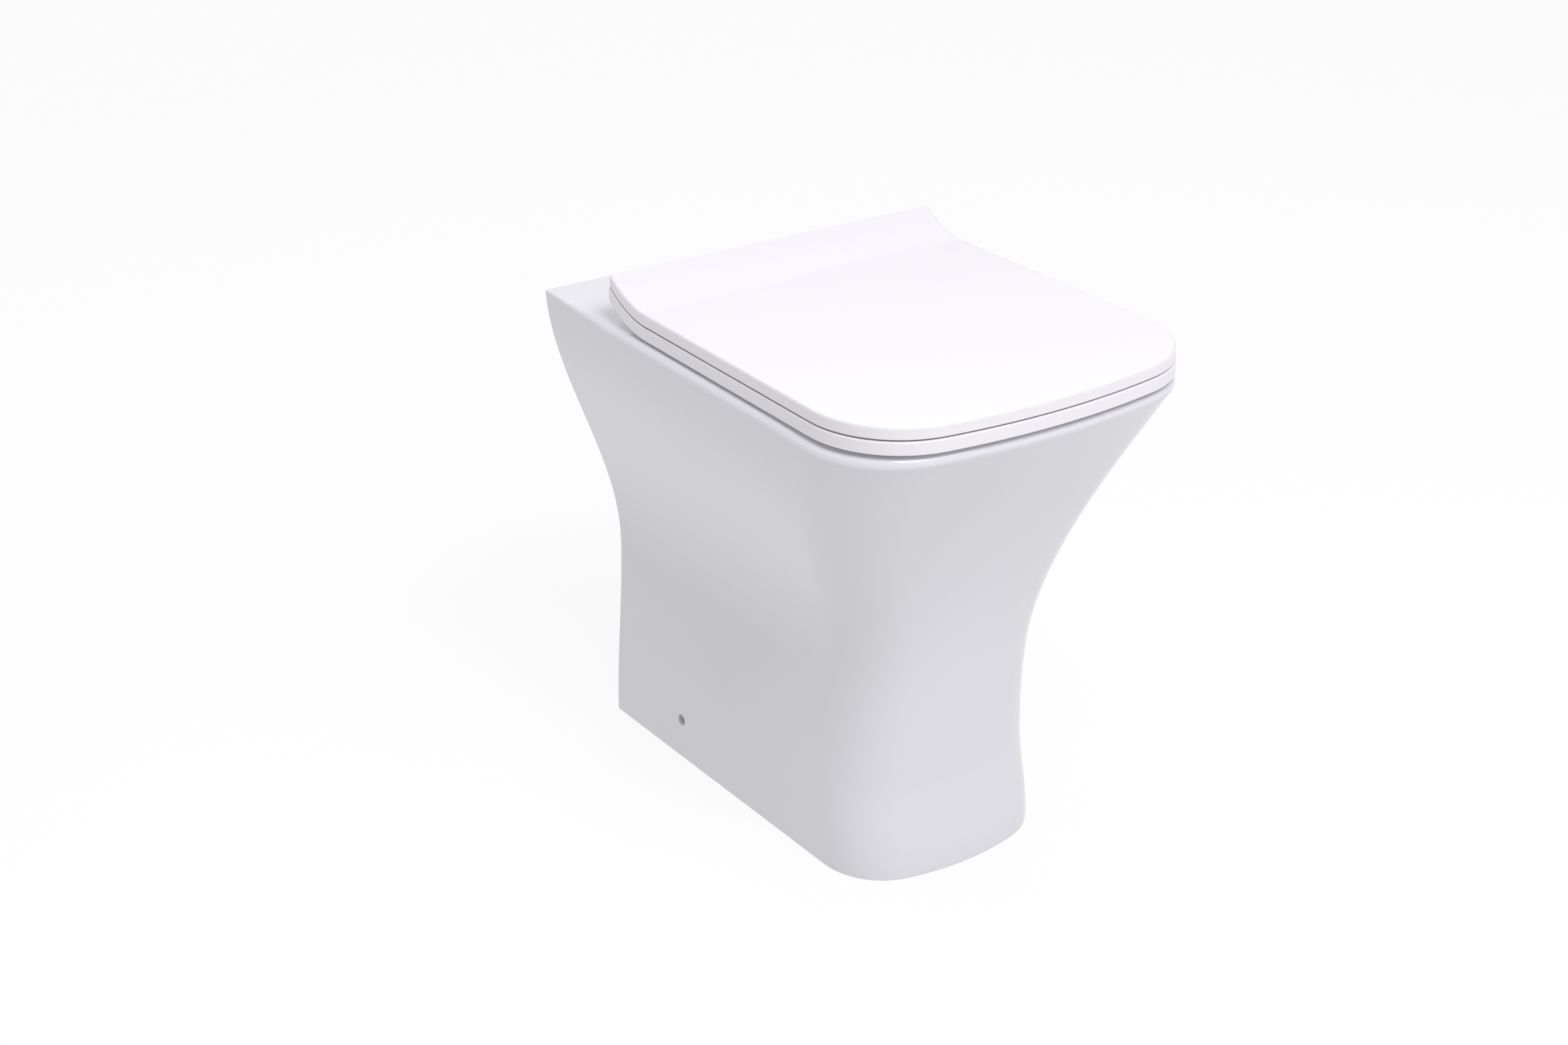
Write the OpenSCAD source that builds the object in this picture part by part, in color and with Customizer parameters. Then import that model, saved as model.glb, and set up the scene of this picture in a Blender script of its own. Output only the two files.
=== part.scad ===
// Back to wall toilet: a flared vitreous china pan that stands against a wall, with a slim
// seat and lid whose rear edge curls up over the hinges. Millimetres. The floor is z = 0, the
// front faces -Y, the wall is at +Y, and the origin is below the middle of the whole object.

/* [Overall] */
// Depth from the wall to the front of the seat
overall_depth = 500; // [480:5:540]
// Height of the pan's rim and rear deck above the floor
rim_height = 455; // [430:1:480]

/* [Pan] */
// Width of the pan at the floor, at the wall
foot_width = 238; // [230:1:260]
// Width of the pan's waist, at the wall
waist_width = 220; // [210:1:230]
// Height of the waist of the sides
waist_height = 187; // [150:1:220]
// Width of the pan at its rim
shoulder_width = 360; // [350:1:380]
// How steeply the sides lean out at the rim, as width gained over height
side_flare = 0.12; // [0:0.02:0.3]
// How much narrower each side is at the front of the foot than at the wall
foot_taper = 13; // [6:1:20]
// Front of the foot behind the front of the seat
foot_setback = 93; // [70:1:110]
// Front's waist behind the front of the seat
waist_setback = 105; // [98:1:120]
// Height of the front's waist
front_waist_height = 90; // [70:1:140]
// Front of the pan's rim behind the front of the seat
rim_setback = 0.5; // [0:0.5:8]
// How steeply the front leans out at the rim, as depth gained over height
front_flare = 0.72; // [0.3:0.02:0.8]
// Radius of the front corners at the foot, seen from above
foot_corner_r = 63; // [50:1:75]
// Radius of the front corners at the rim, seen from above
rim_corner_r = 85; // [55:1:90]
// How far the middle of the front bows ahead of its corners
front_bow = 24; // [15:1:30]
// Radius of the rounded edge round the rim
shoulder_r = 11; // [5:0.5:12]
// Thickness of the china skirt
skirt_wall = 10; // [8:0.5:12]
// Thickness of the china rim and rear deck
deck_wall = 15; // [12:0.5:20]

/* [Bowl] */
// Width of the bowl's mouth
mouth_width = 252; // [236:2:260]
// Front of the bowl's mouth behind the front of the pan's rim
mouth_setback = 36; // [34:1:44]
// Rear of the bowl's mouth in front of the wall
mouth_rear_setback = 179; // [172:1:190]
// Depth of the upright flushing ledge below the rim
ledge_depth = 42; // [34:1:50]
// Thickness of the china bowl and trapway
bowl_wall = 9; // [7:0.5:10]
// Height of the water that stands in the bowl
water_height = 200; // [190:1:208]
// Bore of the trapway
trap_bore = 52; // [50:1:54]
// Height of the sump's floor
sump_height = 86; // [80:1:92]

/* [Plumbing] */
// Height of the outlet's centre above the floor
outlet_height = 180; // [176:1:190]
// Outer diameter of the outlet spigot
outlet_d = 102; // [98:1:106]
// Wall of the outlet spigot
outlet_wall = 8; // [6:0.5:10]
// Length of the outlet spigot's straight part
outlet_length = 42; // [35:1:45]
// End of the outlet spigot in front of the wall
outlet_setback = 20; // [15:1:25]
// Height of the flush inlet's centre above the floor
inlet_height = 385; // [370:1:395]
// Bore of the flush inlet socket
inlet_bore = 55; // [50:1:58]
// Depth of the flush inlet socket
inlet_length = 40; // [30:1:45]
// Mouth of the flush inlet socket in front of the wall
inlet_setback = 60; // [45:1:75]
// Bore of the flushing passage between the socket and the bowl
flush_bore = 36; // [28:1:40]

/* [Seat and lid] */
// Width of the seat at its front corners
seat_front_width = 350; // [340:1:360]
// Width of the seat at its rear edge
seat_rear_width = 346; // [336:1:356]
// Rear edge of the seat in front of the wall
seat_setback = 104; // [98:1:114]
// Radius of the seat's front corners, seen from above
seat_corner_r = 82; // [60:1:90]
// Radius of the seat's rear corners, seen from above
seat_rear_r = 2; // [1:0.5:8]
// Thickness of the seat
seat_thickness = 11; // [10:0.5:14]
// Thickness of the lid
lid_thickness = 11; // [8:0.5:12]
// Gap between the rim and the seat, held by the buffers
seat_gap = 1.5; // [1.2:0.1:4]
// Gap between the seat and the lid, held by the buffers
lid_gap = 1.5; // [1.2:0.1:2.5]
// How far the lid stands in from the seat's edge all round
lid_inset = 0.8; // [0:0.1:3]
// Radius of the lid's upper edge
lid_edge_r = 3; // [1:0.5:4]
// Radius of the seat's upper edge
seat_edge_r = 1.5; // [0.5:0.5:3]
// Radius of the lower edges of the seat and lid
low_edge_r = 1.2; // [0.5:0.1:3]
// Radius of the edge round the seat's opening
opening_edge_r = 5; // [3:0.5:5]
// Length of the curled tail at the rear of the seat and lid
tail_length = 61; // [55:1:70]
// Radius of the tail's curl, seen from the side
tail_r = 100; // [95:1:130]
// Width of the seat's opening
opening_width = 224; // [210:2:230]
// How far the seat covers the rear of the bowl's mouth
opening_overlap = 5; // [2:1:12]
// Width of the seat ring at the front of its opening
ring_front = 54; // [50:1:60]

/* [Hinges] */
// Distance between the two fixing holes in the deck
hinge_spacing = 155; // [150:1:160]
// Hinge axis in front of the seat's rear edge
hinge_inset = 6; // [4:0.5:9]
// Hinge axis above the deck
hinge_rise = 18.5; // [18:0.5:20]
// Diameter of the hinge barrels
barrel_d = 18; // [17:0.5:18]
// Length of the hinge barrels
barrel_length = 44; // [40:1:48]
// Diameter of the hinge pins and damper shafts
pin_d = 7; // [6:0.5:8]
// Width of the lid's and the seat's hinge lugs
lug_width = 8; // [6:0.5:10]
// Diameter of the lugs' round ends
lug_d = 16; // [14:0.5:17]
// Diameter of the damper housings
damper_d = 13.6; // [13:0.2:14]
// Length of the damper housings
damper_length = 30; // [26:1:32]
// Diameter of the studs that hold the hinges to the deck
stud_d = 8; // [6:0.5:8]
// Length of the studs
stud_length = 60; // [50:1:75]
// Diameter of the studs' holes in the deck
stud_hole_d = 14; // [12:0.5:16]
// Diameter of the hinge base plates
base_d = 44; // [36:1:48]
// Thickness of the hinge base plates
base_thickness = 3; // [2:0.5:4]
// Thickness of the rubber gaskets under the base plates
gasket_thickness = 1; // [0.8:0.1:2]

/* [Buffers] */
// Diameter of the seat buffers
seat_buffer_d = 20; // [14:1:24]
// Diameter of the lid buffers
lid_buffer_d = 14; // [10:1:18]
// Diameter of the pegs that hold the buffers
buffer_peg_d = 6; // [4:0.5:7]
// Distance between the two front seat buffers
seat_buffer_spacing = 144; // [120:2:160]
// Distance between the two front lid buffers
lid_buffer_spacing = 120; // [100:2:150]

/* [Floor fixing] */
// Side fixing holes in front of the wall
side_hole_setback = 113.5; // [100:0.5:120]
// Side fixing holes above the floor
side_hole_height = 40.5; // [36:0.5:46]
// Diameter of the side fixing holes
side_hole_d = 11; // [9:0.5:13]
// Diameter of the side screws
side_screw_d = 5; // [4:0.5:6]
// Diameter of the floor screw holes in the brackets
floor_hole_d = 8; // [6:0.5:9]
// Distance between the two floor screw holes
floor_hole_spacing = 146; // [136:1:152]
// Width of the floor brackets from front to back
bracket_width = 40; // [30:1:50]
// Thickness of the floor brackets
bracket_thickness = 6; // [4:0.5:8]

/* [Clearances] */
// Radial clearance of pins and shafts in their bores
pin_clearance = 0.05; // [0.02:0.01:0.09]
// Gap between parts that turn past each other
turning_gap = 1; // [0.8:0.1:1.5]
// Gap between a buffer and what it rests on
rest_gap = 0.1; // [0.05:0.05:0.3]

/* [Hidden] */
$fn = 48;

wall_y = overall_depth / 2;
front_y = wall_y - overall_depth;
under_seat = rim_height + seat_gap;
under_lid = under_seat + seat_thickness + lid_gap;
seat_rear_y = wall_y - seat_setback;
foot_depth = overall_depth - foot_setback;
waist_depth = overall_depth - waist_setback;
rim_front = front_y + rim_setback;
// The rounded edge takes this much off the leaning front.
shoulder_loss = shoulder_r * (1 + front_flare - sqrt(1 + front_flare * front_flare));
rim_depth = wall_y - rim_front + shoulder_loss;
tail_start_y = seat_rear_y - tail_length;
hinge_y = seat_rear_y - hinge_inset;
hinge_z = rim_height + hinge_rise;
hinge_x = hinge_spacing / 2;
lug_in_x = barrel_length / 2 + turning_gap;
base_top = rim_height + gasket_thickness + base_thickness;
cavity_top = rim_height - deck_wall;
mouth_front = rim_front + mouth_setback;
mouth_rear = wall_y - mouth_rear_setback;
mouth_length = mouth_rear - mouth_front;
opening_front = front_y + ring_front;
opening_rear = mouth_rear - opening_overlap;
side_hole_y = wall_y - side_hole_setback;
outlet_end = wall_y - outlet_setback;
inlet_end = wall_y - inlet_setback;
trap_r = trap_bore / 2;
bore_r = pin_d / 2 + pin_clearance;
eps = 0.01;

china = [0.93, 0.93, 0.94];
plastic = [0.97, 0.96, 0.98];
rubber = [0.85, 0.85, 0.86];
steel = [0.72, 0.73, 0.75];

// ---- curves ------------------------------------------------------------------------------

// Smooth curve from value a at 0 to value b at 1, with the slopes sa and sb at its ends.
function blend(t, a, b, sa = 0, sb = 0) =
    a * (2 * t * t * t - 3 * t * t + 1) + sa * (t * t * t - 2 * t * t + t)
    + b * (3 * t * t - 2 * t * t * t) + sb * (t * t * t - t * t);

// Value at height z of a profile that narrows from foot to waist and flares out to the rim.
function flare(z, foot, waist, rim, waist_z, rim_slope) =
    z < waist_z
        ? blend(z / waist_z, foot, waist)
        : blend((z - waist_z) / (rim_height - waist_z), waist, rim, 0, rim_slope * (rim_height - waist_z));

// Right half of a plan outline with straight, tapering sides and a bowed front, from the rear
// to the middle of the front. rear_w and front_w are half widths; rear_y and corner_y are where
// they are measured; bow is how far the middle of the front stands ahead of corner_y.
function half_outline(rear_w, front_w, rear_y, corner_y, bow, r, rear_points, steps) =
    let (
        bow_r = (front_w * front_w + bow * bow) / (2 * bow),
        bow_c = [0, corner_y - bow + bow_r],
        side = [rear_w - front_w, rear_y - corner_y] / norm([rear_w - front_w, rear_y - corner_y]),
        inward = [-side[1], side[0]],
        base = [front_w, corner_y] + inward * r,
        reach = (base - bow_c) * side,
        depth = (base - bow_c) * (base - bow_c) - pow(bow_r - r, 2),
        corner_c = base - side * (reach + sqrt(max(0, reach * reach - depth))),
        along = (corner_c - bow_c) / norm(corner_c - bow_c),
        a1 = atan2(-inward[1], -inward[0]),
        a2 = atan2(along[1], along[0])
    )
    concat(
        rear_points,
        [for (i = [0 : steps]) let (a = a1 + (a2 - a1) * i / steps) corner_c + r * [cos(a), sin(a)]],
        [for (i = [1 : steps / 2]) let (a = a2 + (-90 - a2) * i / (steps / 2))
            bow_c + bow_r * [cos(a), sin(a)]]
    );

// Whole outline, anticlockwise from the left rear, of the right half given.
function whole(half) =
    concat([for (p = half) [-p[0], p[1]]], [for (i = [len(half) - 2 : -1 : 0]) half[i]]);

// Closed oval, squarer as power rises, between front and rear, anticlockwise.
function oval(half_w, front, rear, power, count) =
    [for (i = [0 : count - 1]) let (c = cos(360 * i / count), s = sin(360 * i / count))
        [half_w * sign(c) * pow(abs(c), 2 / power),
         (front + rear) / 2 + (rear - front) / 2 * sign(s) * pow(abs(s), 2 / power)]];

function at_height(outline, z) = [for (p = outline) [p[0], p[1], z]];

// Rise of the seat's and lid's curled tail at y.
function curl(y) = y < tail_start_y ? 0 : tail_r - sqrt(tail_r * tail_r - pow(y - tail_start_y, 2));

// Point t of the way along a Bezier curve with four control points.
function bezier(p, t) =
    pow(1 - t, 3) * p[0] + 3 * t * pow(1 - t, 2) * p[1] + 3 * t * t * (1 - t) * p[2] + pow(t, 3) * p[3];
function bezier_run(p, t) =
    3 * (pow(1 - t, 2) * (p[1] - p[0]) + 2 * t * (1 - t) * (p[2] - p[1]) + t * t * (p[3] - p[2]));

// ---- solids ------------------------------------------------------------------------------

// Walls between rings of equal count, each anticlockwise seen against the direction of travel.
function wall_faces(rings, n) =
    [for (k = [0 : rings - 2]) for (i = [0 : n - 1]) let (j = (i + 1) % n)
        each [[k * n + i, (k + 1) * n + i, (k + 1) * n + j], [k * n + i, (k + 1) * n + j, k * n + j]]];

module loft(rings) {
    n = len(rings[0]);
    top = (len(rings) - 1) * n;
    polyhedron(
        points = [for (ring = rings) each ring],
        faces = concat(
            wall_faces(len(rings), n),
            [[for (i = [0 : n - 1]) i]],
            [[for (i = [n - 1 : -1 : 0]) top + i]]
        ),
        convexity = 6
    );
}

// Slab whose edge follows the given halves, one for each level, and whose top and bottom are
// ruled from side to side, so that the slab can curl along Y.
module ruled_slab(halves, levels) {
    rings = [for (k = [0 : len(levels) - 1]) [for (p = whole(halves[k])) [p[0], p[1], curl(p[1]) + levels[k]]]];
    n = len(rings[0]);
    rows = len(halves[0]) - 1;
    top = (len(rings) - 1) * n;
    polyhedron(
        points = [for (ring = rings) each ring],
        faces = concat(
            wall_faces(len(rings), n),
            [for (i = [0 : rows - 2]) [i, i + 1, n - 2 - i, n - 1 - i]],
            [[rows - 1, rows, n - rows]],
            [for (i = [0 : rows - 2]) [top + n - 1 - i, top + n - 2 - i, top + i + 1, top + i]],
            [[top + n - rows, top + rows, top + rows - 1]]
        ),
        convexity = 4
    );
}

// Tube or rod along a path in the plane x = 0, as rings of the given radii.
module swept_rod(points, runs, radii, sides) {
    loft([for (k = [0 : len(points) - 1]) let (d = runs[k] / norm(runs[k]), up = [-d[1], d[0]])
        [for (i = [0 : sides - 1]) let (a = 360 * i / sides, y = sin(a) * up[0], z = sin(a) * up[1])
            [-radii[k] * cos(a), points[k][0] + radii[k] * y, points[k][1] + radii[k] * z]]]);
}

// Round solid about an axis along +Y at height z, from [y, radius] pairs.
module turned(profile, z) {
    translate([0, 0, z])
        rotate([-90, 0, 0])
            rotate_extrude()
                polygon([for (p = profile) [p[1], p[0]]]);
}

// Rod along X from x1 to x2.
module rod_x(x1, x2, y, z, d) {
    translate([x1, y, z])
        rotate([0, 90, 0])
            cylinder(h = x2 - x1, d = d);
}

module both_sides() {
    children();
    mirror([1, 0, 0])
        children();
}

// ---- pan ---------------------------------------------------------------------------------

// Right half of the skirt's plan at height z, moved in by inset. The corner opens out near the rim.
function pan_half(z, inset, rear_y) =
    let (
        t = z / rim_height,
        w = flare(z, foot_width, waist_width, shoulder_width, waist_height, side_flare) / 2 - inset,
        front = wall_y + inset
            - flare(z, foot_depth, waist_depth, rim_depth, front_waist_height, front_flare),
        r = foot_corner_r + (rim_corner_r - foot_corner_r) * pow(t, 6) - inset,
        taper = foot_taper * (1 - t)
    )
    half_outline(w, w - taper, rear_y, front + front_bow, front_bow, r, [[w, rear_y]], 10);

module pan_outside() {
    levels = 24;
    straight = rim_height - shoulder_r;
    loft(concat(
        [for (i = [0 : levels]) let (z = straight * i / levels)
            at_height(whole(pan_half(z, 0, wall_y)), z)],
        [for (a = [22.5 : 22.5 : 90]) let (z = straight + shoulder_r * sin(a))
            at_height(whole(pan_half(z, shoulder_r * (1 - cos(a)), wall_y)), z)]
    ));
}

// Hollow behind the skirt, open to the floor and to the wall.
module skirt_cavity() {
    levels = 12;
    loft(concat(
        [at_height(whole(pan_half(0, skirt_wall, wall_y + 1)), -1)],
        [for (i = [0 : levels]) let (z = cavity_top * i / levels)
            at_height(whole(pan_half(z, skirt_wall, wall_y + 1)), z + (i == 0 ? eps : 0))]
    ));
}

ledge_w = 8;
ledge_z = rim_height - ledge_depth;
bowl_top = ledge_z - 4;
mouth_edge_r = 6;
sump_y = mouth_front + 0.51 * mouth_length;
sump_half_w = 24;
sump_half_l = 32;
sump_floor_r = 14;

// Bowl's section at a share t of the way from the flushing ledge, 0, to the sump's floor, 1.
function bowl_oval(t, grow, count) =
    let (
        w = mouth_width,
        l = mouth_length,
        half_w = blend(t, w / 2 - ledge_w, sump_half_w, -0.16 * w, -0.13 * w) + grow,
        front = blend(t, mouth_front + ledge_w, sump_y - sump_half_l, 0.56 * l, 0.21 * l) - grow,
        rear = blend(t, mouth_rear - ledge_w, sump_y + sump_half_l, -0.25 * l, -0.07 * l) + grow
    )
    oval(half_w, front, rear, 3 - 0.8 * t, count);

// Rings of the bowl from its rounded floor at floor_z up to the ledge, grown outward by grow.
function bowl_rings(grow, floor_z, steps, count) =
    let (round_r = sump_floor_r + grow, wall_z = floor_z + round_r)
    concat(
        [for (a = [90 : -22.5 : 22.5])
            at_height(bowl_oval(1, grow - round_r * (1 - cos(a)), count), wall_z - round_r * sin(a))],
        [for (i = [steps : -1 : 0]) let (t = i / steps)
            at_height(bowl_oval(t, grow, count), bowl_top - (bowl_top - wall_z) * t)]
    );

module bowl_inside() {
    mouth = function (grow) oval(mouth_width / 2 + grow, mouth_front - grow, mouth_rear + grow, 3, 40);
    loft(concat(
        bowl_rings(0, sump_height, 11, 40),
        [at_height(mouth(1), ledge_z + 8)],
        [for (a = [0 : 30 : 90])
            at_height(mouth(mouth_edge_r * (1 - cos(a))), rim_height - mouth_edge_r * (1 - sin(a)))],
        [at_height(mouth(mouth_edge_r), rim_height + 1)]
    ));
}

module bowl_outside() {
    out = bowl_wall + 1;
    mouth = oval(mouth_width / 2 + out, mouth_front - out, mouth_rear + out, 3, 32);
    loft(concat(
        bowl_rings(bowl_wall, sump_height - bowl_wall, 8, 32),
        [at_height(mouth, cavity_top + deck_wall / 2)]
    ));
}

// Trapway: out of the sump, up over the weir that sets the water's height, down to the outlet.
weir_z = water_height + trap_r;
cone_length = 12;
trap_end = outlet_end - outlet_length - cone_length;
weir_y = trap_end - 1.5 * trap_bore;
dip_z = sump_height + trap_r;
rise_length = weir_y - sump_y;
fall_length = trap_end - weir_y;
up_leg = [
    [sump_y, dip_z], [sump_y + 0.69 * rise_length, dip_z], [weir_y - 0.42 * rise_length, weir_z],
    [weir_y, weir_z]
];
down_leg = [
    [weir_y, weir_z], [weir_y + 0.49 * fall_length, weir_z],
    [trap_end - 0.49 * fall_length, outlet_height], [trap_end, outlet_height]
];

module trapway(r, sides, steps) {
    path = concat(
        [for (i = [0 : steps]) bezier(up_leg, i / steps)],
        [for (i = [1 : steps]) bezier(down_leg, i / steps)],
        [[trap_end + 4, outlet_height]]
    );
    runs = concat(
        [for (i = [0 : steps]) bezier_run(up_leg, i / steps)],
        [for (i = [1 : steps]) bezier_run(down_leg, i / steps)],
        [[1, 0]]
    );
    swept_rod(path, runs, [for (p = path) r], sides);
}

outlet_r = outlet_d / 2;
module outlet_outside() {
    turned([
        [trap_end - 4, 0], [trap_end - 4, trap_r + bowl_wall - 1], [outlet_end - outlet_length, outlet_r],
        [outlet_end, outlet_r], [outlet_end, 0]
    ], outlet_height);
}

module outlet_inside() {
    r = outlet_r - outlet_wall;
    turned([
        [trap_end - 1, 0], [trap_end - 1, trap_r - 1], [outlet_end - outlet_length, r],
        [outlet_end + 1, r], [outlet_end + 1, 0]
    ], outlet_height);
}

inlet_r = inlet_bore / 2;
flush_r = flush_bore / 2;
module inlet_outside() {
    turned([
        [mouth_rear - 4, 0], [mouth_rear - 4, flush_r + bowl_wall],
        [inlet_end - inlet_length - cone_length, flush_r + bowl_wall],
        [inlet_end - inlet_length, inlet_r + bowl_wall], [inlet_end, inlet_r + bowl_wall], [inlet_end, 0]
    ], inlet_height);
}

module inlet_inside() {
    turned([
        [mouth_rear - flush_bore, 0], [mouth_rear - flush_bore, flush_r],
        [inlet_end - inlet_length - cone_length / 2, flush_r],
        [inlet_end - inlet_length, flush_r + 4], [inlet_end - inlet_length, inlet_r],
        [inlet_end + 1, inlet_r], [inlet_end + 1, 0]
    ], inlet_height);
}

module pan() {
    color(china)
        difference() {
            union() {
                difference() {
                    pan_outside();
                    skirt_cavity();
                }
                bowl_outside();
                trapway(trap_r + bowl_wall, 24, 9);
                outlet_outside();
                inlet_outside();
            }
            bowl_inside();
            trapway(trap_r, 24, 9);
            outlet_inside();
            inlet_inside();
            both_sides() {
                translate([hinge_x, hinge_y, cavity_top - 1])
                    cylinder(h = deck_wall + 2, d = stud_hole_d);
                rod_x(
                    skirt_inner_x - 2 * skirt_wall, foot_width / 2 + skirt_wall,
                    side_hole_y, side_hole_height, side_hole_d
                );
            }
        }
}

// ---- floor fixing ------------------------------------------------------------------------

// Inner face of the skirt where the bracket stands: the narrowest place over the bracket.
side_w = flare(side_hole_height, foot_width, waist_width, shoulder_width, waist_height, side_flare) / 2;
taper_at_hole = foot_taper * (side_hole_setback + bracket_width / 2) / (foot_depth - front_bow);
skirt_inner_x = side_w - taper_at_hole - skirt_wall;
skirt_outer_x = skirt_inner_x + skirt_wall;
skirt_gap = 1.5;
bracket_face = skirt_inner_x - skirt_gap;
bracket_height = side_hole_height + 16;
base_margin = 14;
gusset_thickness = 4;
boss_wall = 4.5;
boss_d = side_screw_d + 2 * boss_wall;
boss_depth = 18;
head_recess = 6;
sleeve_end = skirt_outer_x - head_recess;
sleeve_clearance = 0.2;
screw_head_h = 3;
screw_point = 3;
screw_end = bracket_face - boss_depth - screw_point - 1;

module floor_bracket() {
    base_x = floor_hole_spacing / 2 - base_margin;
    upright_x = bracket_face - bracket_thickness;
    color(plastic)
        difference() {
            union() {
                translate([base_x, side_hole_y - bracket_width / 2, 0])
                    cube([bracket_face - base_x, bracket_width, bracket_thickness]);
                translate([upright_x, side_hole_y - bracket_width / 2, 0])
                    cube([bracket_thickness, bracket_width, bracket_height]);
                for (side = [-1, 1])
                    translate([0, side_hole_y + side * (bracket_width - gusset_thickness) / 2, 0])
                        rotate([90, 0, 0])
                            linear_extrude(gusset_thickness, center = true)
                                polygon([
                                    [base_x + 2, bracket_thickness - 1],
                                    [upright_x + 1, bracket_thickness - 1],
                                    [upright_x + 1, bracket_height - 2]
                                ]);
                rod_x(bracket_face - boss_depth, bracket_face, side_hole_y, side_hole_height, boss_d);
            }
            rod_x(
                bracket_face - boss_depth - 1, bracket_face + 1, side_hole_y, side_hole_height,
                side_screw_d + 2 * pin_clearance
            );
            translate([floor_hole_spacing / 2, side_hole_y, -1])
                cylinder(h = bracket_thickness + 2, d = floor_hole_d);
        }
}

module side_sleeve() {
    color(plastic)
        difference() {
            rod_x(bracket_face, sleeve_end, side_hole_y, side_hole_height, side_hole_d - 2 * sleeve_clearance);
            rod_x(
                bracket_face - 1, sleeve_end + 1, side_hole_y, side_hole_height,
                side_screw_d + 2 * sleeve_clearance
            );
        }
}

module side_screw() {
    color(steel)
        difference() {
            union() {
                rod_x(screw_end, sleeve_end + 1, side_hole_y, side_hole_height, side_screw_d);
                translate([screw_end - screw_point, side_hole_y, side_hole_height])
                    rotate([0, 90, 0])
                        cylinder(h = screw_point, d1 = 1, d2 = side_screw_d);
                rod_x(sleeve_end, sleeve_end + screw_head_h, side_hole_y, side_hole_height, side_hole_d - 2);
            }
            for (turn = [0, 90])
                translate([sleeve_end + screw_head_h, side_hole_y, side_hole_height])
                    rotate([turn, 0, 0])
                        cube([3, 5, 1.2], center = true);
        }
}

// ---- hinges ------------------------------------------------------------------------------

module hinge_gaskets() {
    color(rubber)
        both_sides()
            translate([hinge_x, hinge_y, rim_height])
                difference() {
                    cylinder(h = gasket_thickness, d = base_d - 1);
                    translate([0, 0, -1])
                        cylinder(h = gasket_thickness + 2, d = stud_d + 1);
                }
}

module hinge_base() {
    color(steel)
        translate([hinge_x, hinge_y, rim_height + gasket_thickness])
            difference() {
                union() {
                    cylinder(h = base_thickness - 1, d = base_d);
                    translate([0, 0, base_thickness - 1])
                        cylinder(h = 1, d1 = base_d, d2 = base_d - 2);
                }
                translate([0, 0, -1])
                    cylinder(h = base_thickness + 2, d = stud_d + 2 * pin_clearance);
            }
}

stud_top = hinge_z - damper_d / 2 - 2;

// Barrel on a neck. open_side is 1 where the damper goes in from the outer end, -1 from the inner.
module hinge_block(open_side) {
    color(plastic)
        difference() {
            union() {
                rod_x(hinge_x - barrel_length / 2, hinge_x + barrel_length / 2, hinge_y, hinge_z, barrel_d);
                translate([hinge_x, hinge_y, base_top])
                    cylinder(h = hinge_rise - gasket_thickness - base_thickness, d = barrel_d - 1);
            }
            translate([hinge_x, hinge_y, base_top - 1])
                cylinder(h = stud_top - base_top + 1, d = stud_d + 2 * pin_clearance);
            translate([hinge_x, hinge_y, hinge_z])
                rotate([0, 90 * open_side, 0]) {
                    translate([0, 0, barrel_length / 2 - damper_length])
                        cylinder(h = damper_length + 1, d = damper_d + 0.2);
                    translate([0, 0, -barrel_length / 2 - 1])
                        cylinder(h = barrel_length, r = bore_r);
                }
        }
}

module hinge_stud() {
    color(steel)
        translate([hinge_x, hinge_y, stud_top - 0.5 - stud_length])
            union() {
                cylinder(h = 1, d1 = stud_d - 2, d2 = stud_d);
                translate([0, 0, 1])
                    cylinder(h = stud_length - 1, d = stud_d);
            }
}

bush_flange = 4;
bush_collar = 6;
washer_collar = 4;
washer_thickness = 1.5;

module stud_bushes() {
    color(rubber)
        both_sides()
            translate([hinge_x, hinge_y, cavity_top])
                difference() {
                    union() {
                        translate([0, 0, -bush_flange])
                            cylinder(h = bush_flange, d = stud_hole_d + 2 * bush_collar);
                        cylinder(h = deck_wall - 3, d = stud_hole_d - 0.4);
                    }
                    translate([0, 0, -bush_flange - 1])
                        cylinder(h = deck_wall + bush_flange + 2, d = stud_d + 2 * pin_clearance);
                }
}

module stud_washers() {
    color(steel)
        both_sides()
            translate([hinge_x, hinge_y, cavity_top - bush_flange - washer_thickness])
                difference() {
                    cylinder(h = washer_thickness, d = stud_hole_d + 2 * washer_collar);
                    translate([0, 0, -1])
                        cylinder(h = washer_thickness + 2, d = stud_d + 0.6);
                }
}

nut_height = 10;
nut_wall = 4;
wing_reach = 22;
wing_drop = 7;
wing_thickness = 3;
module wing_nuts() {
    color(plastic)
        both_sides()
            translate([hinge_x, hinge_y, cavity_top - bush_flange - washer_thickness - nut_height])
                difference() {
                    union() {
                        cylinder(h = nut_height, d = stud_d + 2 * nut_wall);
                        for (turn = [0, 180])
                            rotate([90, 0, turn])
                                translate([0, 0, -wing_thickness / 2])
                                    linear_extrude(wing_thickness)
                                        polygon([
                                            [stud_d / 2 + nut_wall / 2, nut_height],
                                            [stud_d / 2 + nut_wall / 2, 1],
                                            [wing_reach - nut_wall, -wing_drop],
                                            [wing_reach, -wing_drop],
                                            [wing_reach, 1],
                                            [wing_reach - 2 * nut_wall, nut_height]
                                        ]);
                    }
                    translate([0, 0, -wing_drop - 1])
                        cylinder(h = nut_height + wing_drop + 2, d = stud_d + 2 * pin_clearance);
                }
}

damper_wall = 1.8;
damper_cap = 4;
vane_d = damper_d - 2 * damper_wall - 0.4;

// The damper parts are drawn along +X from the barrel's middle and turned for the other side.
module facing(open_side) {
    translate([hinge_x, hinge_y, hinge_z])
        rotate([0, 90 * open_side, 0])
            children();
}

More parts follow.
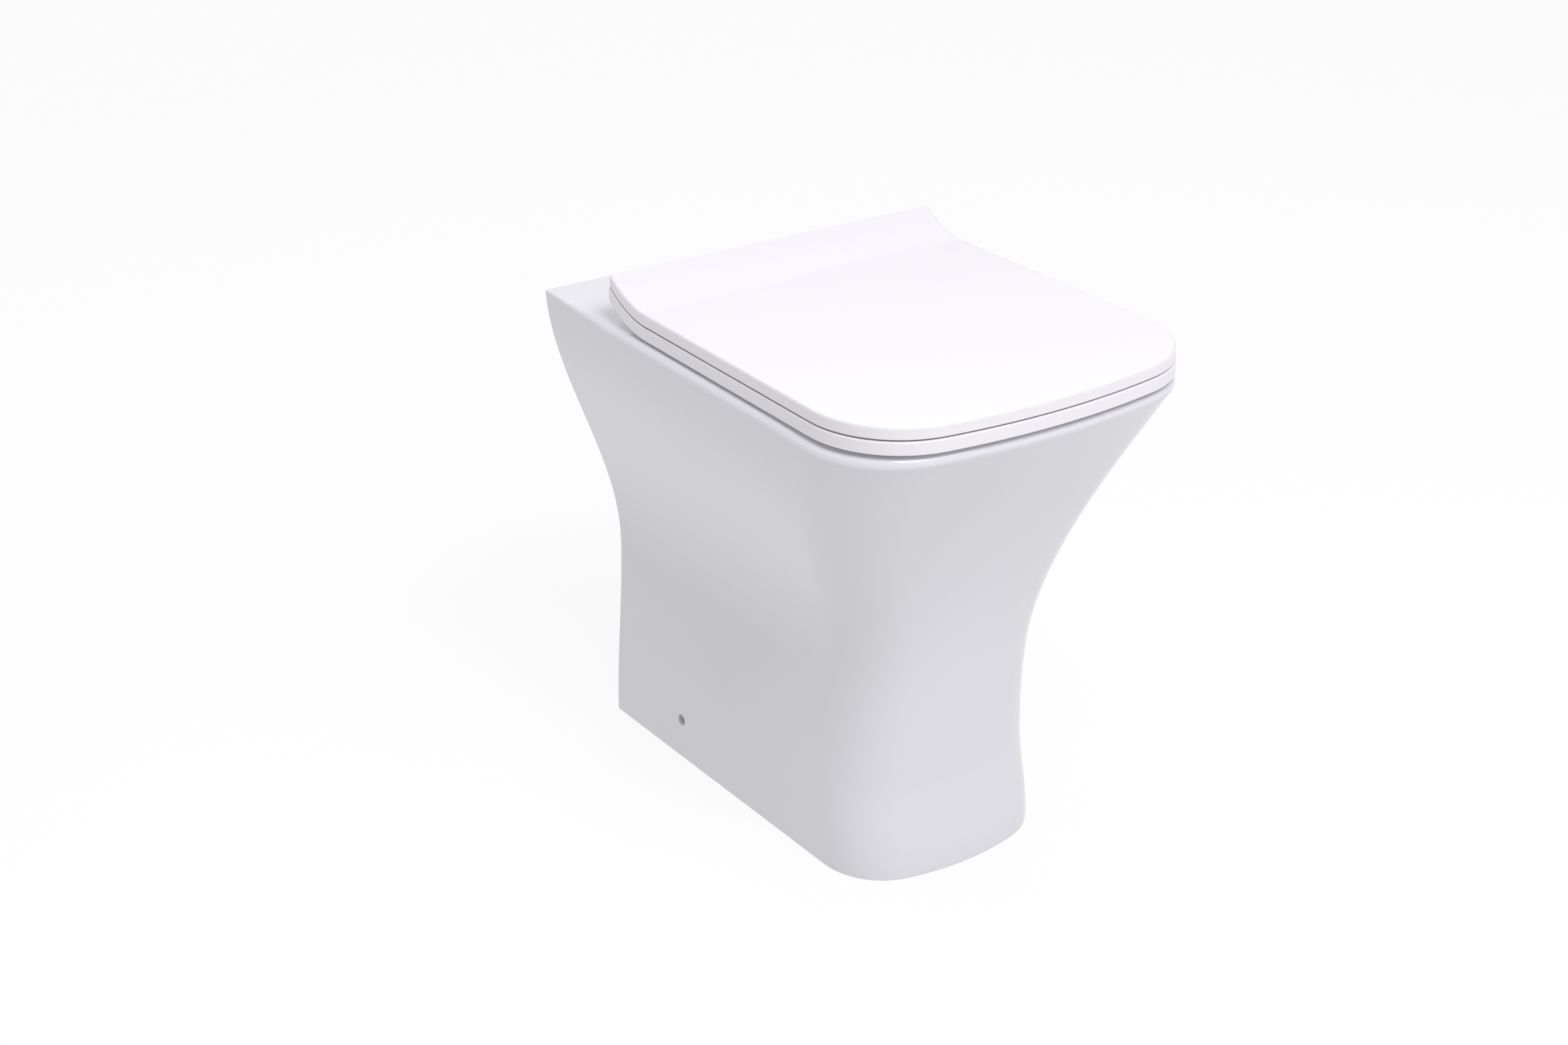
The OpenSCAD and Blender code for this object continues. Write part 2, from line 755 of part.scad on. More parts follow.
module damper_housing(open_side) {
    color(steel)
        facing(open_side)
            translate([0, 0, barrel_length / 2 - damper_length + 0.2])
                difference() {
                    cylinder(h = damper_length - 0.2, d = damper_d);
                    translate([0, 0, 2]) {
                        cylinder(h = damper_length - damper_cap - 2.2, d = damper_d - 2 * damper_wall);
                        cylinder(h = damper_length, r = bore_r);
                    }
                }
}

module damper_rotor(open_side) {
    inner = barrel_length / 2 - damper_length + 3;
    outer = barrel_length / 2 + turning_gap + lug_width - 1;
    color(rubber)
        facing(open_side)
            difference() {
                union() {
                    translate([0, 0, inner])
                        cylinder(h = outer - inner, d = pin_d);
                    translate([-1.2, -vane_d / 2, inner])
                        cube([2.4, vane_d, damper_length - damper_cap - 4]);
                }
                translate([0, 0, inner - 1])
                    difference() {
                        cylinder(h = outer - inner + 2, d = damper_d * 2);
                        translate([0, 0, -1])
                            cylinder(h = outer - inner + 4, d = vane_d);
                    }
            }
}

module hinge_pin(open_side) {
    depth = barrel_length - damper_length - 3;
    color(steel)
        facing(-open_side)
            translate([0, 0, barrel_length / 2 - depth])
                cylinder(h = depth + turning_gap + lug_width - 1, d = pin_d);
}

// ---- seat and lid ------------------------------------------------------------------------

// Right half of the seat's plan, moved in by inset.
function seat_half(inset) =
    let (
        rear_w = seat_rear_width / 2 - inset,
        front_w = seat_front_width / 2 - inset,
        rear_y = seat_rear_y - inset,
        corner_y = front_y + front_bow + inset,
        rr = seat_rear_r,
        tail_steps = 7
    )
    half_outline(
        rear_w, front_w, rear_y, corner_y, front_bow, seat_corner_r - inset,
        concat(
            [for (a = [90 : -30 : 0]) [rear_w - rr + rr * cos(a), rear_y - rr + rr * sin(a)]],
            [for (i = [1 : tail_steps])
                let (y = rear_y - rr - (tail_length - rr) * i / tail_steps)
                [rear_w + (front_w - rear_w) * (rear_y - y) / (rear_y - corner_y), y]]
        ),
        10
    );

module slab(inset, thickness, low_edge, edge_r) {
    steps = [
        [inset + low_edge, 0], [inset + low_edge * 0.35, thickness * 0.18], [inset, thickness * 0.5],
        [inset, thickness - edge_r], [inset + edge_r * 0.13, thickness - edge_r * 0.5],
        [inset + edge_r * 0.5, thickness - edge_r * 0.13], [inset + edge_r, thickness]
    ];
    ruled_slab([for (s = steps) seat_half(s[0])], [for (s = steps) s[1]]);
}

opening_length = opening_rear - opening_front;
side_ring_x = (opening_width / 2 + seat_front_width / 2) / 2;
seat_buffer_x = [seat_buffer_spacing / 2, side_ring_x];
seat_buffer_y = [mouth_front - seat_buffer_d / 2 - 1, opening_rear - 0.23 * opening_length];
lid_buffer_x = [lid_buffer_spacing / 2, side_ring_x];
lid_buffer_y = [opening_front - ring_front / 2, opening_rear - 0.35 * opening_length];

module at_buffers(xs, ys, z) {
    both_sides()
        for (i = [0, 1])
            translate([xs[i], ys[i], z])
                children();
}

module opening_cut() {
    grow = function (g) oval(opening_width / 2 + g, opening_front - g, opening_rear + g, 3, 40);
    top = under_seat + seat_thickness;
    r = opening_edge_r;
    loft([
        at_height(grow(r / 2), under_seat - 1), at_height(grow(r / 2), under_seat),
        at_height(grow(0), under_seat + r / 2), at_height(grow(0), top - r),
        at_height(grow(0.3 * r), top - 0.3 * r), at_height(grow(r), top), at_height(grow(r), top + 1)
    ]);
}

module seat() {
    lug_x = hinge_x - lug_in_x - lug_width;
    notch_y = hinge_y - barrel_d / 2 - 5;
    color(plastic)
        difference() {
            union() {
                difference() {
                    translate([0, 0, under_seat])
                        slab(0, seat_thickness, low_edge_r, seat_edge_r);
                    opening_cut();
                    both_sides()
                        translate([hinge_x - lug_in_x, notch_y, rim_height])
                            cube([
                                2 * lug_in_x + lug_width + turning_gap,
                                seat_rear_y - notch_y + 1, tail_length
                            ]);
                }
                both_sides() {
                    rod_x(lug_x, lug_x + lug_width, hinge_y, hinge_z, lug_d);
                    translate([lug_x, hinge_y - lug_d / 2, hinge_z])
                        cube([lug_width, lug_d / 2 + 2, 3]);
                }
            }
            both_sides()
                rod_x(lug_x - 1, lug_x + lug_width + 1, hinge_y, hinge_z, 2 * bore_r);
            at_buffers(seat_buffer_x, seat_buffer_y, under_seat - 1)
                cylinder(h = 6, d = buffer_peg_d + 2 * pin_clearance);
        }
}

module seat_buffers() {
    color(rubber)
        at_buffers(seat_buffer_x, seat_buffer_y, rim_height + rest_gap) {
            cylinder(h = 0.6, d1 = seat_buffer_d - 1.2, d2 = seat_buffer_d);
            translate([0, 0, 0.6])
                cylinder(h = seat_gap - rest_gap - 0.6, d = seat_buffer_d);
            cylinder(h = seat_gap + 4, d = buffer_peg_d);
        }
}

module lid() {
    lug_x = hinge_x + lug_in_x;
    lug_top = under_lid + curl(hinge_y) + 3;
    color(plastic)
        difference() {
            union() {
                translate([0, 0, under_lid])
                    slab(lid_inset, lid_thickness, low_edge_r, lid_edge_r);
                both_sides() {
                    rod_x(lug_x, lug_x + lug_width, hinge_y, hinge_z, lug_d);
                    translate([lug_x, hinge_y - lug_d / 2, hinge_z])
                        cube([lug_width, lug_d / 2 + 4, lug_top - hinge_z]);
                }
            }
            both_sides()
                rod_x(lug_x - 1, lug_x + lug_width + 1, hinge_y, hinge_z, 2 * bore_r);
            at_buffers(lid_buffer_x, lid_buffer_y, under_lid - 1)
                cylinder(h = 5, d = buffer_peg_d + 2 * pin_clearance);
        }
}

module lid_buffers() {
    color(rubber)
        at_buffers(lid_buffer_x, lid_buffer_y, under_lid - lid_gap + rest_gap) {
            cylinder(h = 0.4, d1 = lid_buffer_d - 0.8, d2 = lid_buffer_d);
            translate([0, 0, 0.4])
                cylinder(h = lid_gap - rest_gap - 0.4, d = lid_buffer_d);
            cylinder(h = lid_gap + 3, d = buffer_peg_d);
        }
}

// ---- assembly ----------------------------------------------------------------------------

module on_left() {
    mirror([1, 0, 0])
        children();
}

pan();
on_left() floor_bracket();  // floor_bracket_left
floor_bracket();  // floor_bracket_right
on_left() side_sleeve();  // side_sleeve_left
side_sleeve();  // side_sleeve_right
on_left() side_screw();  // side_screw_left
side_screw();  // side_screw_right
hinge_gaskets();
on_left() hinge_base();  // hinge_base_left
hinge_base();  // hinge_base_right
on_left() hinge_block(1);  // hinge_block_left
hinge_block(-1);  // hinge_block_right
on_left() hinge_stud();  // hinge_stud_left
hinge_stud();  // hinge_stud_right
stud_bushes();
stud_washers();
wing_nuts();
on_left() damper_housing(1);  // lid_damper_housing
damper_housing(-1);  // seat_damper_housing
seat();
seat_buffers();
damper_rotor(-1);  // seat_damper_rotor
on_left() hinge_pin(1);  // seat_hinge_pin
lid();
lid_buffers();
on_left() damper_rotor(1);  // lid_damper_rotor
hinge_pin(-1);  // lid_hinge_pin
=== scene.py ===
"""Back to wall toilet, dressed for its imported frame.

It has a glazed china pan, a slim curled seat and lid, two hinges and the floor fixings. Lengths are metres.
The floor is z = 0, the front faces -Y and the wall is at +Y.
"""
import logging
import math
from dataclasses import dataclass
from enum import Enum

import bmesh
import bpy
import numpy as np
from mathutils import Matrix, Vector


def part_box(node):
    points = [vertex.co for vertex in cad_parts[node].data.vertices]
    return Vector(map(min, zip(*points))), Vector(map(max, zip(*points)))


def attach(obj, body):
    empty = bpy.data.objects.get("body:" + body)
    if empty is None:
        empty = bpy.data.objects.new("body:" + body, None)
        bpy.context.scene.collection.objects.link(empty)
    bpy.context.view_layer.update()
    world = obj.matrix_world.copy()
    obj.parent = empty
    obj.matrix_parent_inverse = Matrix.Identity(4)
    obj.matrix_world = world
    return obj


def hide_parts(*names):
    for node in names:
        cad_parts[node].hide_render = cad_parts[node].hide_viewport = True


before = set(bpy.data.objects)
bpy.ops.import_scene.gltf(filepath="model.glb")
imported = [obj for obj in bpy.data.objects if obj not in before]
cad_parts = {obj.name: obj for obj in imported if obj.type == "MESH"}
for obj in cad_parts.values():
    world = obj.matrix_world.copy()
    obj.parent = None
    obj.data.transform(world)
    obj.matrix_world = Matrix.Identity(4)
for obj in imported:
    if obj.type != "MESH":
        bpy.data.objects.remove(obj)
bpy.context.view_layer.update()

log = logging.getLogger("toilet")
MM = 0.001
MERGE = 2e-6  # points nearer than this are one
VANISH = 1e-7  # edges shorter than this are dropped

Sizes = float | np.ndarray
Profile = list[tuple[float, float]]


# ---- shapes: curves and closed surfaces as whole arrays --------------------------------------


class Cut(Enum):
    """The ways in which two closed meshes can be joined."""

    UNION = "UNION"
    DIFFERENCE = "DIFFERENCE"


def hermite(t: np.ndarray, a: float, b: float, slope_a: float = 0.0, slope_b: float = 0.0) -> np.ndarray:
    """Cubic curve from a to b that leaves and arrives with the given slopes.

    Args:
        t: Shares of the way, 0 to 1.
        a: Value at 0.
        b: Value at 1.
        slope_a: Change of value per unit of t at 0.
        slope_b: Change of value per unit of t at 1.

    Returns:
        The curve's value at each t.
    """
    t2, t3 = t * t, t * t * t
    start = a * (2 * t3 - 3 * t2 + 1) + slope_a * (t3 - 2 * t2 + t)
    return start + b * (3 * t2 - 2 * t3) + slope_b * (t3 - t2)


def unit(v: np.ndarray) -> np.ndarray:
    """Vectors along the last axis, scaled to length one."""
    return v / np.linalg.norm(v, axis=-1, keepdims=True)


def fair(strips: np.ndarray, count: int, reach: float) -> np.ndarray:
    """Evenly spaced points along each curve, with curvature steps softened.

    Each curve is resampled at equal steps of its length and averaged under a raised cosine window that
    reaches the given distance each way. The curve is continued past its ends by point reflection, so the
    ends stay where they are.

    Args:
        strips: Curves in the plane, shaped (curves, points, 2).
        count: Points wanted on each curve.
        reach: Half width of the window.

    Returns:
        Curves shaped (curves, count, 2).
    """
    out = np.empty((len(strips), count, 2))
    for k, curve in enumerate(strips):
        run = np.concatenate([[0.0], np.cumsum(np.linalg.norm(np.diff(curve, axis=0), axis=1))])
        even = np.linspace(0.0, run[-1], count)
        points = np.stack([np.interp(even, run, curve[:, 0]), np.interp(even, run, curve[:, 1])], axis=1)
        taps = max(1, int(round(reach / even[1])))
        window = 1 + np.cos(np.pi * np.arange(-taps, taps + 1) / (taps + 1))
        window /= window.sum()
        before, after = 2 * points[0] - points[taps:0:-1], 2 * points[-1] - points[-2:-taps - 2:-1]
        longer = np.concatenate([before, points, after])
        out[k] = np.stack([np.convolve(longer[:, i], window, "valid") for i in (0, 1)], axis=1)
    return out


def bowed_plan(
    rear_w: Sizes, front_w: Sizes, rear_y: Sizes, corner_y: Sizes, bow: Sizes, corner_r: Sizes,
    count: int = 200, reach: float = 9 * MM,
) -> np.ndarray:
    """Plan curves with straight tapering sides and a bowed front, from the left rear to the right rear.

    The front is an arc through the two front corners that stands ahead of them by the bow. A fillet touches
    the side's line and the front's arc: its centre is where a line parallel to the side, one radius inside,
    meets the circle that is one radius inside the front's arc.

    Args:
        rear_w: Half width at rear_y, one for each curve.
        front_w: Half width at corner_y.
        rear_y: Y of the sides' rear ends.
        corner_y: Y where the bow starts.
        bow: How far the middle of the front stands ahead of corner_y.
        corner_r: Radius of the front corners.
        count: Points on each curve.
        reach: Half width of the window that softens the curvature steps.

    Returns:
        Curves shaped (curves, count, 2).
    """
    given = (rear_w, front_w, rear_y, corner_y, bow, corner_r)
    values = np.broadcast_arrays(*[np.atleast_1d(np.asarray(v, float)) for v in given])
    rear_w, front_w, rear_y, corner_y, bow, corner_r = (v[:, None] for v in values)
    bow_r = (front_w**2 + bow**2) / (2 * bow)
    bow_c = np.concatenate([0 * bow_r, corner_y - bow + bow_r], axis=1)
    corner = np.concatenate([front_w, corner_y], axis=1)
    rear = np.concatenate([rear_w, rear_y], axis=1)
    side = unit(rear - corner)
    inward = np.stack([-side[:, 1], side[:, 0]], axis=1)
    offset = corner + inward * corner_r - bow_c
    reach_in = (offset * side).sum(1, keepdims=True)
    depth = (offset**2).sum(1, keepdims=True) - (bow_r - corner_r) ** 2
    centre = corner + inward * corner_r - side * (reach_in + np.sqrt(np.maximum(0, reach_in**2 - depth)))
    along = unit(centre - bow_c)
    a1 = np.arctan2(-inward[:, 1:], -inward[:, :1])
    a2 = np.arctan2(along[:, 1:], along[:, :1])
    s = np.linspace(0, 1, 60)[None, :]
    turn = a1 + (a2 - a1) * s
    sweep = a2 + (-math.pi / 2 - a2) * s[:, 1:]
    ring = lambda c, r, a: c[:, None, :] + r[:, :, None] * np.stack([np.cos(a), np.sin(a)], axis=2)
    corner_arc, front_arc = ring(centre, corner_r, turn), ring(bow_c, bow_r, sweep)
    straight = rear[:, None, :] + (corner_arc[:, :1] - rear[:, None, :]) * s[:, :-1, None]
    right = np.concatenate([straight, corner_arc, front_arc], axis=1)
    left = right * np.array([-1.0, 1.0])
    return fair(np.concatenate([left, right[:, -2::-1]], axis=1), count, reach)


def oval_at(angles: np.ndarray, half_w: Sizes, front: Sizes, rear: Sizes, power: Sizes) -> np.ndarray:
    """Closed ovals, squarer as the power rises, met along given directions from their centres.

    At the angle a, a point lies this far from the centre:
    1 / ((|cos a| / half width)^p + (|sin a| / half length)^p)^(1/p).

    Args:
        angles: Directions from the centre, from +X towards +Y.
        half_w: Half width, one for each oval.
        front: Lowest y.
        rear: Highest y.
        power: Squareness, 2 for an ellipse.

    Returns:
        Points shaped (ovals, angles, 2).
    """
    values = np.broadcast_arrays(*map(np.atleast_1d, (half_w, front, rear, power)))
    half_w, front, rear, power = (v[:, None] for v in values)
    c, s = np.cos(angles)[None, :], np.sin(angles)[None, :]
    half_l = (rear - front) / 2
    r = (np.abs(c / half_w) ** power + np.abs(s / half_l) ** power) ** (-1 / power)
    return np.stack([r * c, (front + rear) / 2 + r * s], axis=2)


def lifted(plan: np.ndarray, z: Sizes) -> np.ndarray:
    """Plan curves, each at its height or with a height for each point."""
    z = np.asarray(z, float)
    z = z[:, None] if z.ndim == 1 else z
    return np.concatenate([plan, np.broadcast_to(z, plan.shape[:2])[:, :, None]], axis=2)


def quads(rows: int, columns: int, closed_rows: bool = False, closed_columns: bool = True) -> np.ndarray:
    """Corner numbers of the four-sided faces of a grid of points.

    Args:
        rows: Rows of points.
        columns: Points in each row.
        closed_rows: Whether the last row joins the first.
        closed_columns: Whether each row closes on itself.

    Returns:
        Faces shaped (faces, 4).
    """
    i = np.arange(rows if closed_rows else rows - 1)[:, None]
    j = np.arange(columns if closed_columns else columns - 1)[None, :]
    i2, j2 = (i + 1) % rows, (j + 1) % columns
    corners = np.broadcast_arrays(i * columns + j, i * columns + j2, i2 * columns + j2, i2 * columns + j)
    return np.stack(corners, axis=2).reshape(-1, 4)


def solid(
    name: str, grids: list[tuple[np.ndarray, np.ndarray]], caps: list[list[int]] | None = None
) -> bpy.types.Object:
    """A mesh object of grids of points that meet at their edges, welded, with its faces pointing outwards.

    Args:
        name: The object's name.
        grids: Point arrays, each with its faces.
        caps: Faces with many corners, numbered over all the points.

    Returns:
        The new object, at the origin.
    """
    points, faces, start = [], [list(c) for c in caps or []], 0
    for grid, grid_faces in grids:
        flat = grid.reshape(-1, 3)
        points.append(flat)
        faces += (grid_faces + start).tolist()
        start += len(flat)
    mesh = bpy.data.meshes.new(name)
    mesh.from_pydata(np.concatenate(points).tolist(), [], faces)
    weld(mesh)
    made = bpy.data.objects.new(name, mesh)
    bpy.context.scene.collection.objects.link(made)
    return made


def loft(name: str, rings: np.ndarray) -> bpy.types.Object:
    """A closed body through rings of points, with a flat cap on the first and the last."""
    rows, columns = rings.shape[:2]
    caps = [list(range(columns)), list(range((rows - 1) * columns, rows * columns))]
    return solid(name, [(rings, quads(rows, columns))], caps)


def lathe(
    name: str, profile: Profile, origin: tuple | list[tuple], axis: str = "Z", sides: int = 64
) -> bpy.types.Object:
    """A body of revolution: the profile's points (along the axis, from the axis) turned round a line.

    Args:
        name: The object's name.
        profile: Places along the axis with their radii.
        origin: Where the profile's zero lies, or several such places for a body at each.
        axis: "X", "Y" or "Z".
        sides: Points round the axis.

    Returns:
        The new object. A profile whose ends have a radius of zero is closed by them, and any other is closed
        by joining its last point to its first.
    """
    along, radius = np.array(profile).T
    a = np.linspace(0, 2 * np.pi, sides, endpoint=False)
    u, v = radius[:, None] * np.cos(a), radius[:, None] * np.sin(a)
    w = np.broadcast_to(along[:, None], u.shape)
    grid = np.stack({"X": (w, u, v), "Y": (v, w, u), "Z": (u, v, w)}[axis], axis=2)
    faces = quads(len(profile), sides, closed_rows=bool(radius[0] > 0 or radius[-1] > 0))
    return solid(name, [(grid + place, faces) for place in np.atleast_2d(np.array(origin, float))])


def prism(
    name: str, outline: Profile, low: float, high: float, axis: str = "Z", edge: float = 0.5 * MM
) -> bpy.types.Object:
    """A plate of one outline whose rims are rounded: each ring is the outline, moved in.

    A corner moves along the sum of its two sides' inward directions over one plus their product, so that
    both sides move in by the same distance.

    Args:
        name: The object's name.
        outline: Corners in the plane square to the axis.
        low: Where the plate starts on the axis.
        high: Where it ends.
        axis: "X" for an outline in Y and Z, "Y" for X and Z, "Z" for X and Y.
        edge: Radius of both rims, 0 where they stay sharp.

    Returns:
        The new object.
    """
    plan = np.array(outline, float)
    after = np.roll(plan, -1, axis=0)
    if (plan[:, 0] * after[:, 1] - plan[:, 1] * after[:, 0]).sum() < 0:
        plan = plan[::-1]
    ahead = unit(np.roll(plan, -1, axis=0) - plan)
    inward = np.stack([-ahead[:, 1], ahead[:, 0]], axis=1)
    before = np.roll(inward, 1, axis=0)
    halving = (inward + before) / (1 + (inward * before).sum(1))[:, None]
    a = np.linspace(0, math.pi / 2, 5 if edge else 1)
    inset, level = edge * (1 - np.sin(a)), edge * (1 - np.cos(a))
    rings = plan + np.concatenate([inset, inset[::-1]])[:, None, None] * halving
    u, v = rings[:, :, 0], rings[:, :, 1]
    w = np.broadcast_to(np.concatenate([low + level, high - level[::-1]])[:, None], u.shape)
    return loft(name, np.stack({"X": (w, u, v), "Y": (u, w, v), "Z": (u, v, w)}[axis], axis=2))


def threaded(
    name: str, start: tuple[float, float, float], reach: float, radius: float, pitch: float, lead: float,
    axis: str = "Z",
) -> bpy.types.Object:
    """A threaded rod whose ends are drawn in.

    At the distance h along it and the turn a, the radius falls from the crest by 0.61 of the pitch times a
    triangle wave of h over the pitch less a's share of a whole turn.

    Args:
        name: The object's name.
        start: Middle of its first end.
        reach: Its length, negative where it runs down the axis.
        radius: Radius of the crests.
        pitch: Distance from crest to crest.
        lead: How far both ends draw in.
        axis: "X" or "Z".

    Returns:
        The new object.
    """
    length = abs(reach)
    h = np.linspace(0, length, int(length / pitch * 6) + 1)[:, None]
    a = np.linspace(0, 2 * math.pi, 28, endpoint=False)[None, :]
    wave = np.abs(2 * ((h / pitch - a / (2 * math.pi)) % 1) - 1)
    r = np.minimum(radius - 0.61 * pitch * wave, radius - lead + np.minimum(h, length - h))
    u, v, w = r * np.cos(a), r * np.sin(a), np.sign(reach) * h + 0 * a
    return loft(name, np.stack({"X": (w, u, v), "Z": (u, v, w)}[axis], axis=2) + np.array(start))


def bar(low: float, high: float, radius: float, near: float = 0.0, far: float = 0.0) -> Profile:
    """A rod's profile from low to high on its axis, with its near and far rims rounded."""
    return rounded([(low, 0.0), (low, radius), (high, radius), (high, 0.0)], [0, near, far, 0])


def rounded(points: Profile, radii: list[float], steps: int = 5) -> Profile:
    """A profile with its corners rounded by arcs that touch both sides.

    Args:
        points: The profile's corners.
        radii: Radius of each corner, 0 where it stays sharp.
        steps: Stretches on each arc.

    Returns:
        The profile's points with arcs in place of the rounded corners.
    """
    out: Profile = []
    count = len(points)
    for k, (p, r) in enumerate(zip(points, radii)):
        p, a, b = (np.array(q, float) for q in (p, points[k - 1], points[(k + 1) % count]))
        if r <= 0:
            out.append(tuple(p))
            continue
        da, db = unit(a - p), unit(b - p)
        half = math.acos(float(np.clip(da @ db, -1, 1))) / 2
        centre = p + unit(da + db) * r / math.sin(half)
        start, end = p + da * r / math.tan(half) - centre, p + db * r / math.tan(half) - centre
        s = np.linspace(0, 1, steps + 1)[:, None]
        out += [tuple(q) for q in centre + unit(start * (1 - s) + end * s) * r]
    return out


def weld(mesh: bpy.types.Mesh) -> None:
    """Merges points nearer than MERGE, drops the faces that vanish by it and turns all faces outwards.

    Args:
        mesh: The mesh, which is changed.
    """
    work = bmesh.new()
    work.from_mesh(mesh)
    bmesh.ops.remove_doubles(work, verts=work.verts, dist=MERGE)
    bmesh.ops.dissolve_degenerate(work, edges=work.edges, dist=VANISH)
    bmesh.ops.recalc_face_normals(work, faces=work.faces)
    work.to_mesh(mesh)
    work.free()


def combine(target: bpy.types.Object, tool: bpy.types.Object, cut: Cut) -> None:
    """Adds the tool to the target or takes it away, and deletes the tool.

    Args:
        target: A closed mesh object, which is changed.
        tool: A closed mesh object.
        cut: What is done with the tool.
    """
    change = target.modifiers.new("combine", "BOOLEAN")
    change.operation, change.solver, change.object = cut.value, "MANIFOLD", tool
    bpy.context.view_layer.update()
    result = bpy.data.meshes.new_from_object(target.evaluated_get(bpy.context.evaluated_depsgraph_get()))
    before = len(target.data.polygons)
    target.modifiers.clear()
    target.data = result
    if len(result.polygons) in (0, before):
        raise RuntimeError(f"{tool.name} left {target.name} as it was")
    bpy.data.objects.remove(tool, do_unlink=True)


# ---- finishes --------------------------------------------------------------------------------


@dataclass(frozen=True)
class Finish:
    """One surface finish as a procedural material.

    The colour wanders between two near shades with a soft noise. Two bumps can lie on the surface, each left
    out where its height is zero: a slow wave, as a fired glaze or a moulding has, and a fine grain.
    """

    name: str
    shade: tuple[float, float, float]
    second_shade: tuple[float, float, float]
    roughness: float
    metallic: float = 0.0
    ior: float = 1.5
    mottle_scale: float = 9.0
    wave_scale: float = 14.0
    wave_height: float = 0.0
    grain_scale: float = 900.0
    grain_height: float = 0.0
    roughness_spread: float = 0.02
    stretch: tuple[float, float, float] = (1.0, 1.0, 1.0)

    def material(self) -> bpy.types.Material:
        """The material, made once and then shared.

        Returns:
            A node material that reads Object coordinates.
        """
        if self.name in bpy.data.materials:
            return bpy.data.materials[self.name]
        made = bpy.data.materials.new(self.name)
        made.use_nodes = True
        made.diffuse_color = (*self.shade, 1.0)
        nodes, links = made.node_tree.nodes, made.node_tree.links
        nodes.clear()
        output = nodes.new("ShaderNodeOutputMaterial")
        shader = nodes.new("ShaderNodeBsdfPrincipled")
        links.new(shader.outputs["BSDF"], output.inputs["Surface"])
        shader.inputs["Metallic"].default_value = self.metallic
        shader.inputs["IOR"].default_value = self.ior
        place = nodes.new("ShaderNodeTexCoord")
        mapping = nodes.new("ShaderNodeMapping")
        mapping.inputs["Scale"].default_value = self.stretch
        links.new(place.outputs["Object"], mapping.inputs["Vector"])

        def noise(scale: float, detail: float) -> bpy.types.Node:
            """A noise texture on the piece's own coordinates."""
            node = nodes.new("ShaderNodeTexNoise")
            node.inputs["Scale"].default_value = scale
            node.inputs["Detail"].default_value = detail
            links.new(mapping.outputs["Vector"], node.inputs["Vector"])
            return node

        mottle = noise(self.mottle_scale, 2.0)
        colours = nodes.new("ShaderNodeMix")
        colours.data_type = "RGBA"
        colours.inputs[6].default_value = (*self.shade, 1.0)
        colours.inputs[7].default_value = (*self.second_shade, 1.0)
        links.new(mottle.outputs["Fac"], colours.inputs["Factor"])
        links.new(colours.outputs[2], shader.inputs["Base Color"])
        spread = nodes.new("ShaderNodeMapRange")
        spread.inputs["To Min"].default_value = max(0.0, self.roughness - self.roughness_spread)
        spread.inputs["To Max"].default_value = self.roughness + self.roughness_spread
        links.new(noise(self.mottle_scale * 6, 4.0).outputs["Fac"], spread.inputs["Value"])
        links.new(spread.outputs["Result"], shader.inputs["Roughness"])
        normal = None
        for scale, height, detail in (
            (self.wave_scale, self.wave_height, 1.0),
            (self.grain_scale, self.grain_height, 2.0),
        ):
            if height <= 0:
                continue
            bump = nodes.new("ShaderNodeBump")
            bump.inputs["Distance"].default_value = height
            links.new(noise(scale, detail).outputs["Fac"], bump.inputs["Height"])
            if normal is not None:
                links.new(normal, bump.inputs["Normal"])
            normal = bump.outputs["Normal"]
        if normal is not None:
            links.new(normal, shader.inputs["Normal"])
        return made


CHINA = Finish(
    "vitreous_china", (0.638, 0.642, 0.670), (0.656, 0.658, 0.684), roughness=0.09,
    wave_scale=16.0, wave_height=0.0004, grain_scale=700.0, grain_height=0.000006,
)
SEAT_PLASTIC = Finish(
    "thermoset_white", (0.715, 0.704, 0.726), (0.725, 0.714, 0.735), roughness=0.24,
    mottle_scale=5.0, wave_scale=7.0, wave_height=0.0002, grain_scale=1100.0, grain_height=0.000004,
)
HINGE_PLASTIC = Finish(
    "moulded_acetal", (0.84, 0.84, 0.85), (0.86, 0.86, 0.865), roughness=0.36, wave_height=0.0001,
    wave_scale=60.0, grain_scale=1600.0, grain_height=0.00001,
)
CHROME = Finish(
    "polished_chrome", (0.80, 0.81, 0.83), (0.74, 0.75, 0.77), roughness=0.07, metallic=1.0,
    wave_scale=40.0, wave_height=0.00005, mottle_scale=30.0,
)
STEEL = Finish(
    "bright_zinc", (0.80, 0.80, 0.81), (0.72, 0.72, 0.73), roughness=0.34, metallic=1.0,
    mottle_scale=120.0, grain_scale=700.0, grain_height=0.00002, roughness_spread=0.07,
    stretch=(1.0, 1.0, 8.0),
)
RUBBER = Finish(
    "pale_rubber", (0.68, 0.68, 0.69), (0.62, 0.62, 0.64), roughness=0.62, mottle_scale=60.0,
    grain_scale=1500.0, grain_height=0.00004,
)
NYLON = Finish(
    "natural_nylon", (0.70, 0.70, 0.68), (0.64, 0.64, 0.62), roughness=0.48, mottle_scale=40.0,
    wave_scale=120.0, wave_height=0.0002, grain_scale=1300.0, grain_height=0.00003,
)
DARK_NYLON = Finish(
    "filled_nylon", (0.045, 0.045, 0.05), (0.06, 0.06, 0.065), roughness=0.45, mottle_scale=60.0,
    grain_scale=1500.0, grain_height=0.00003,
)


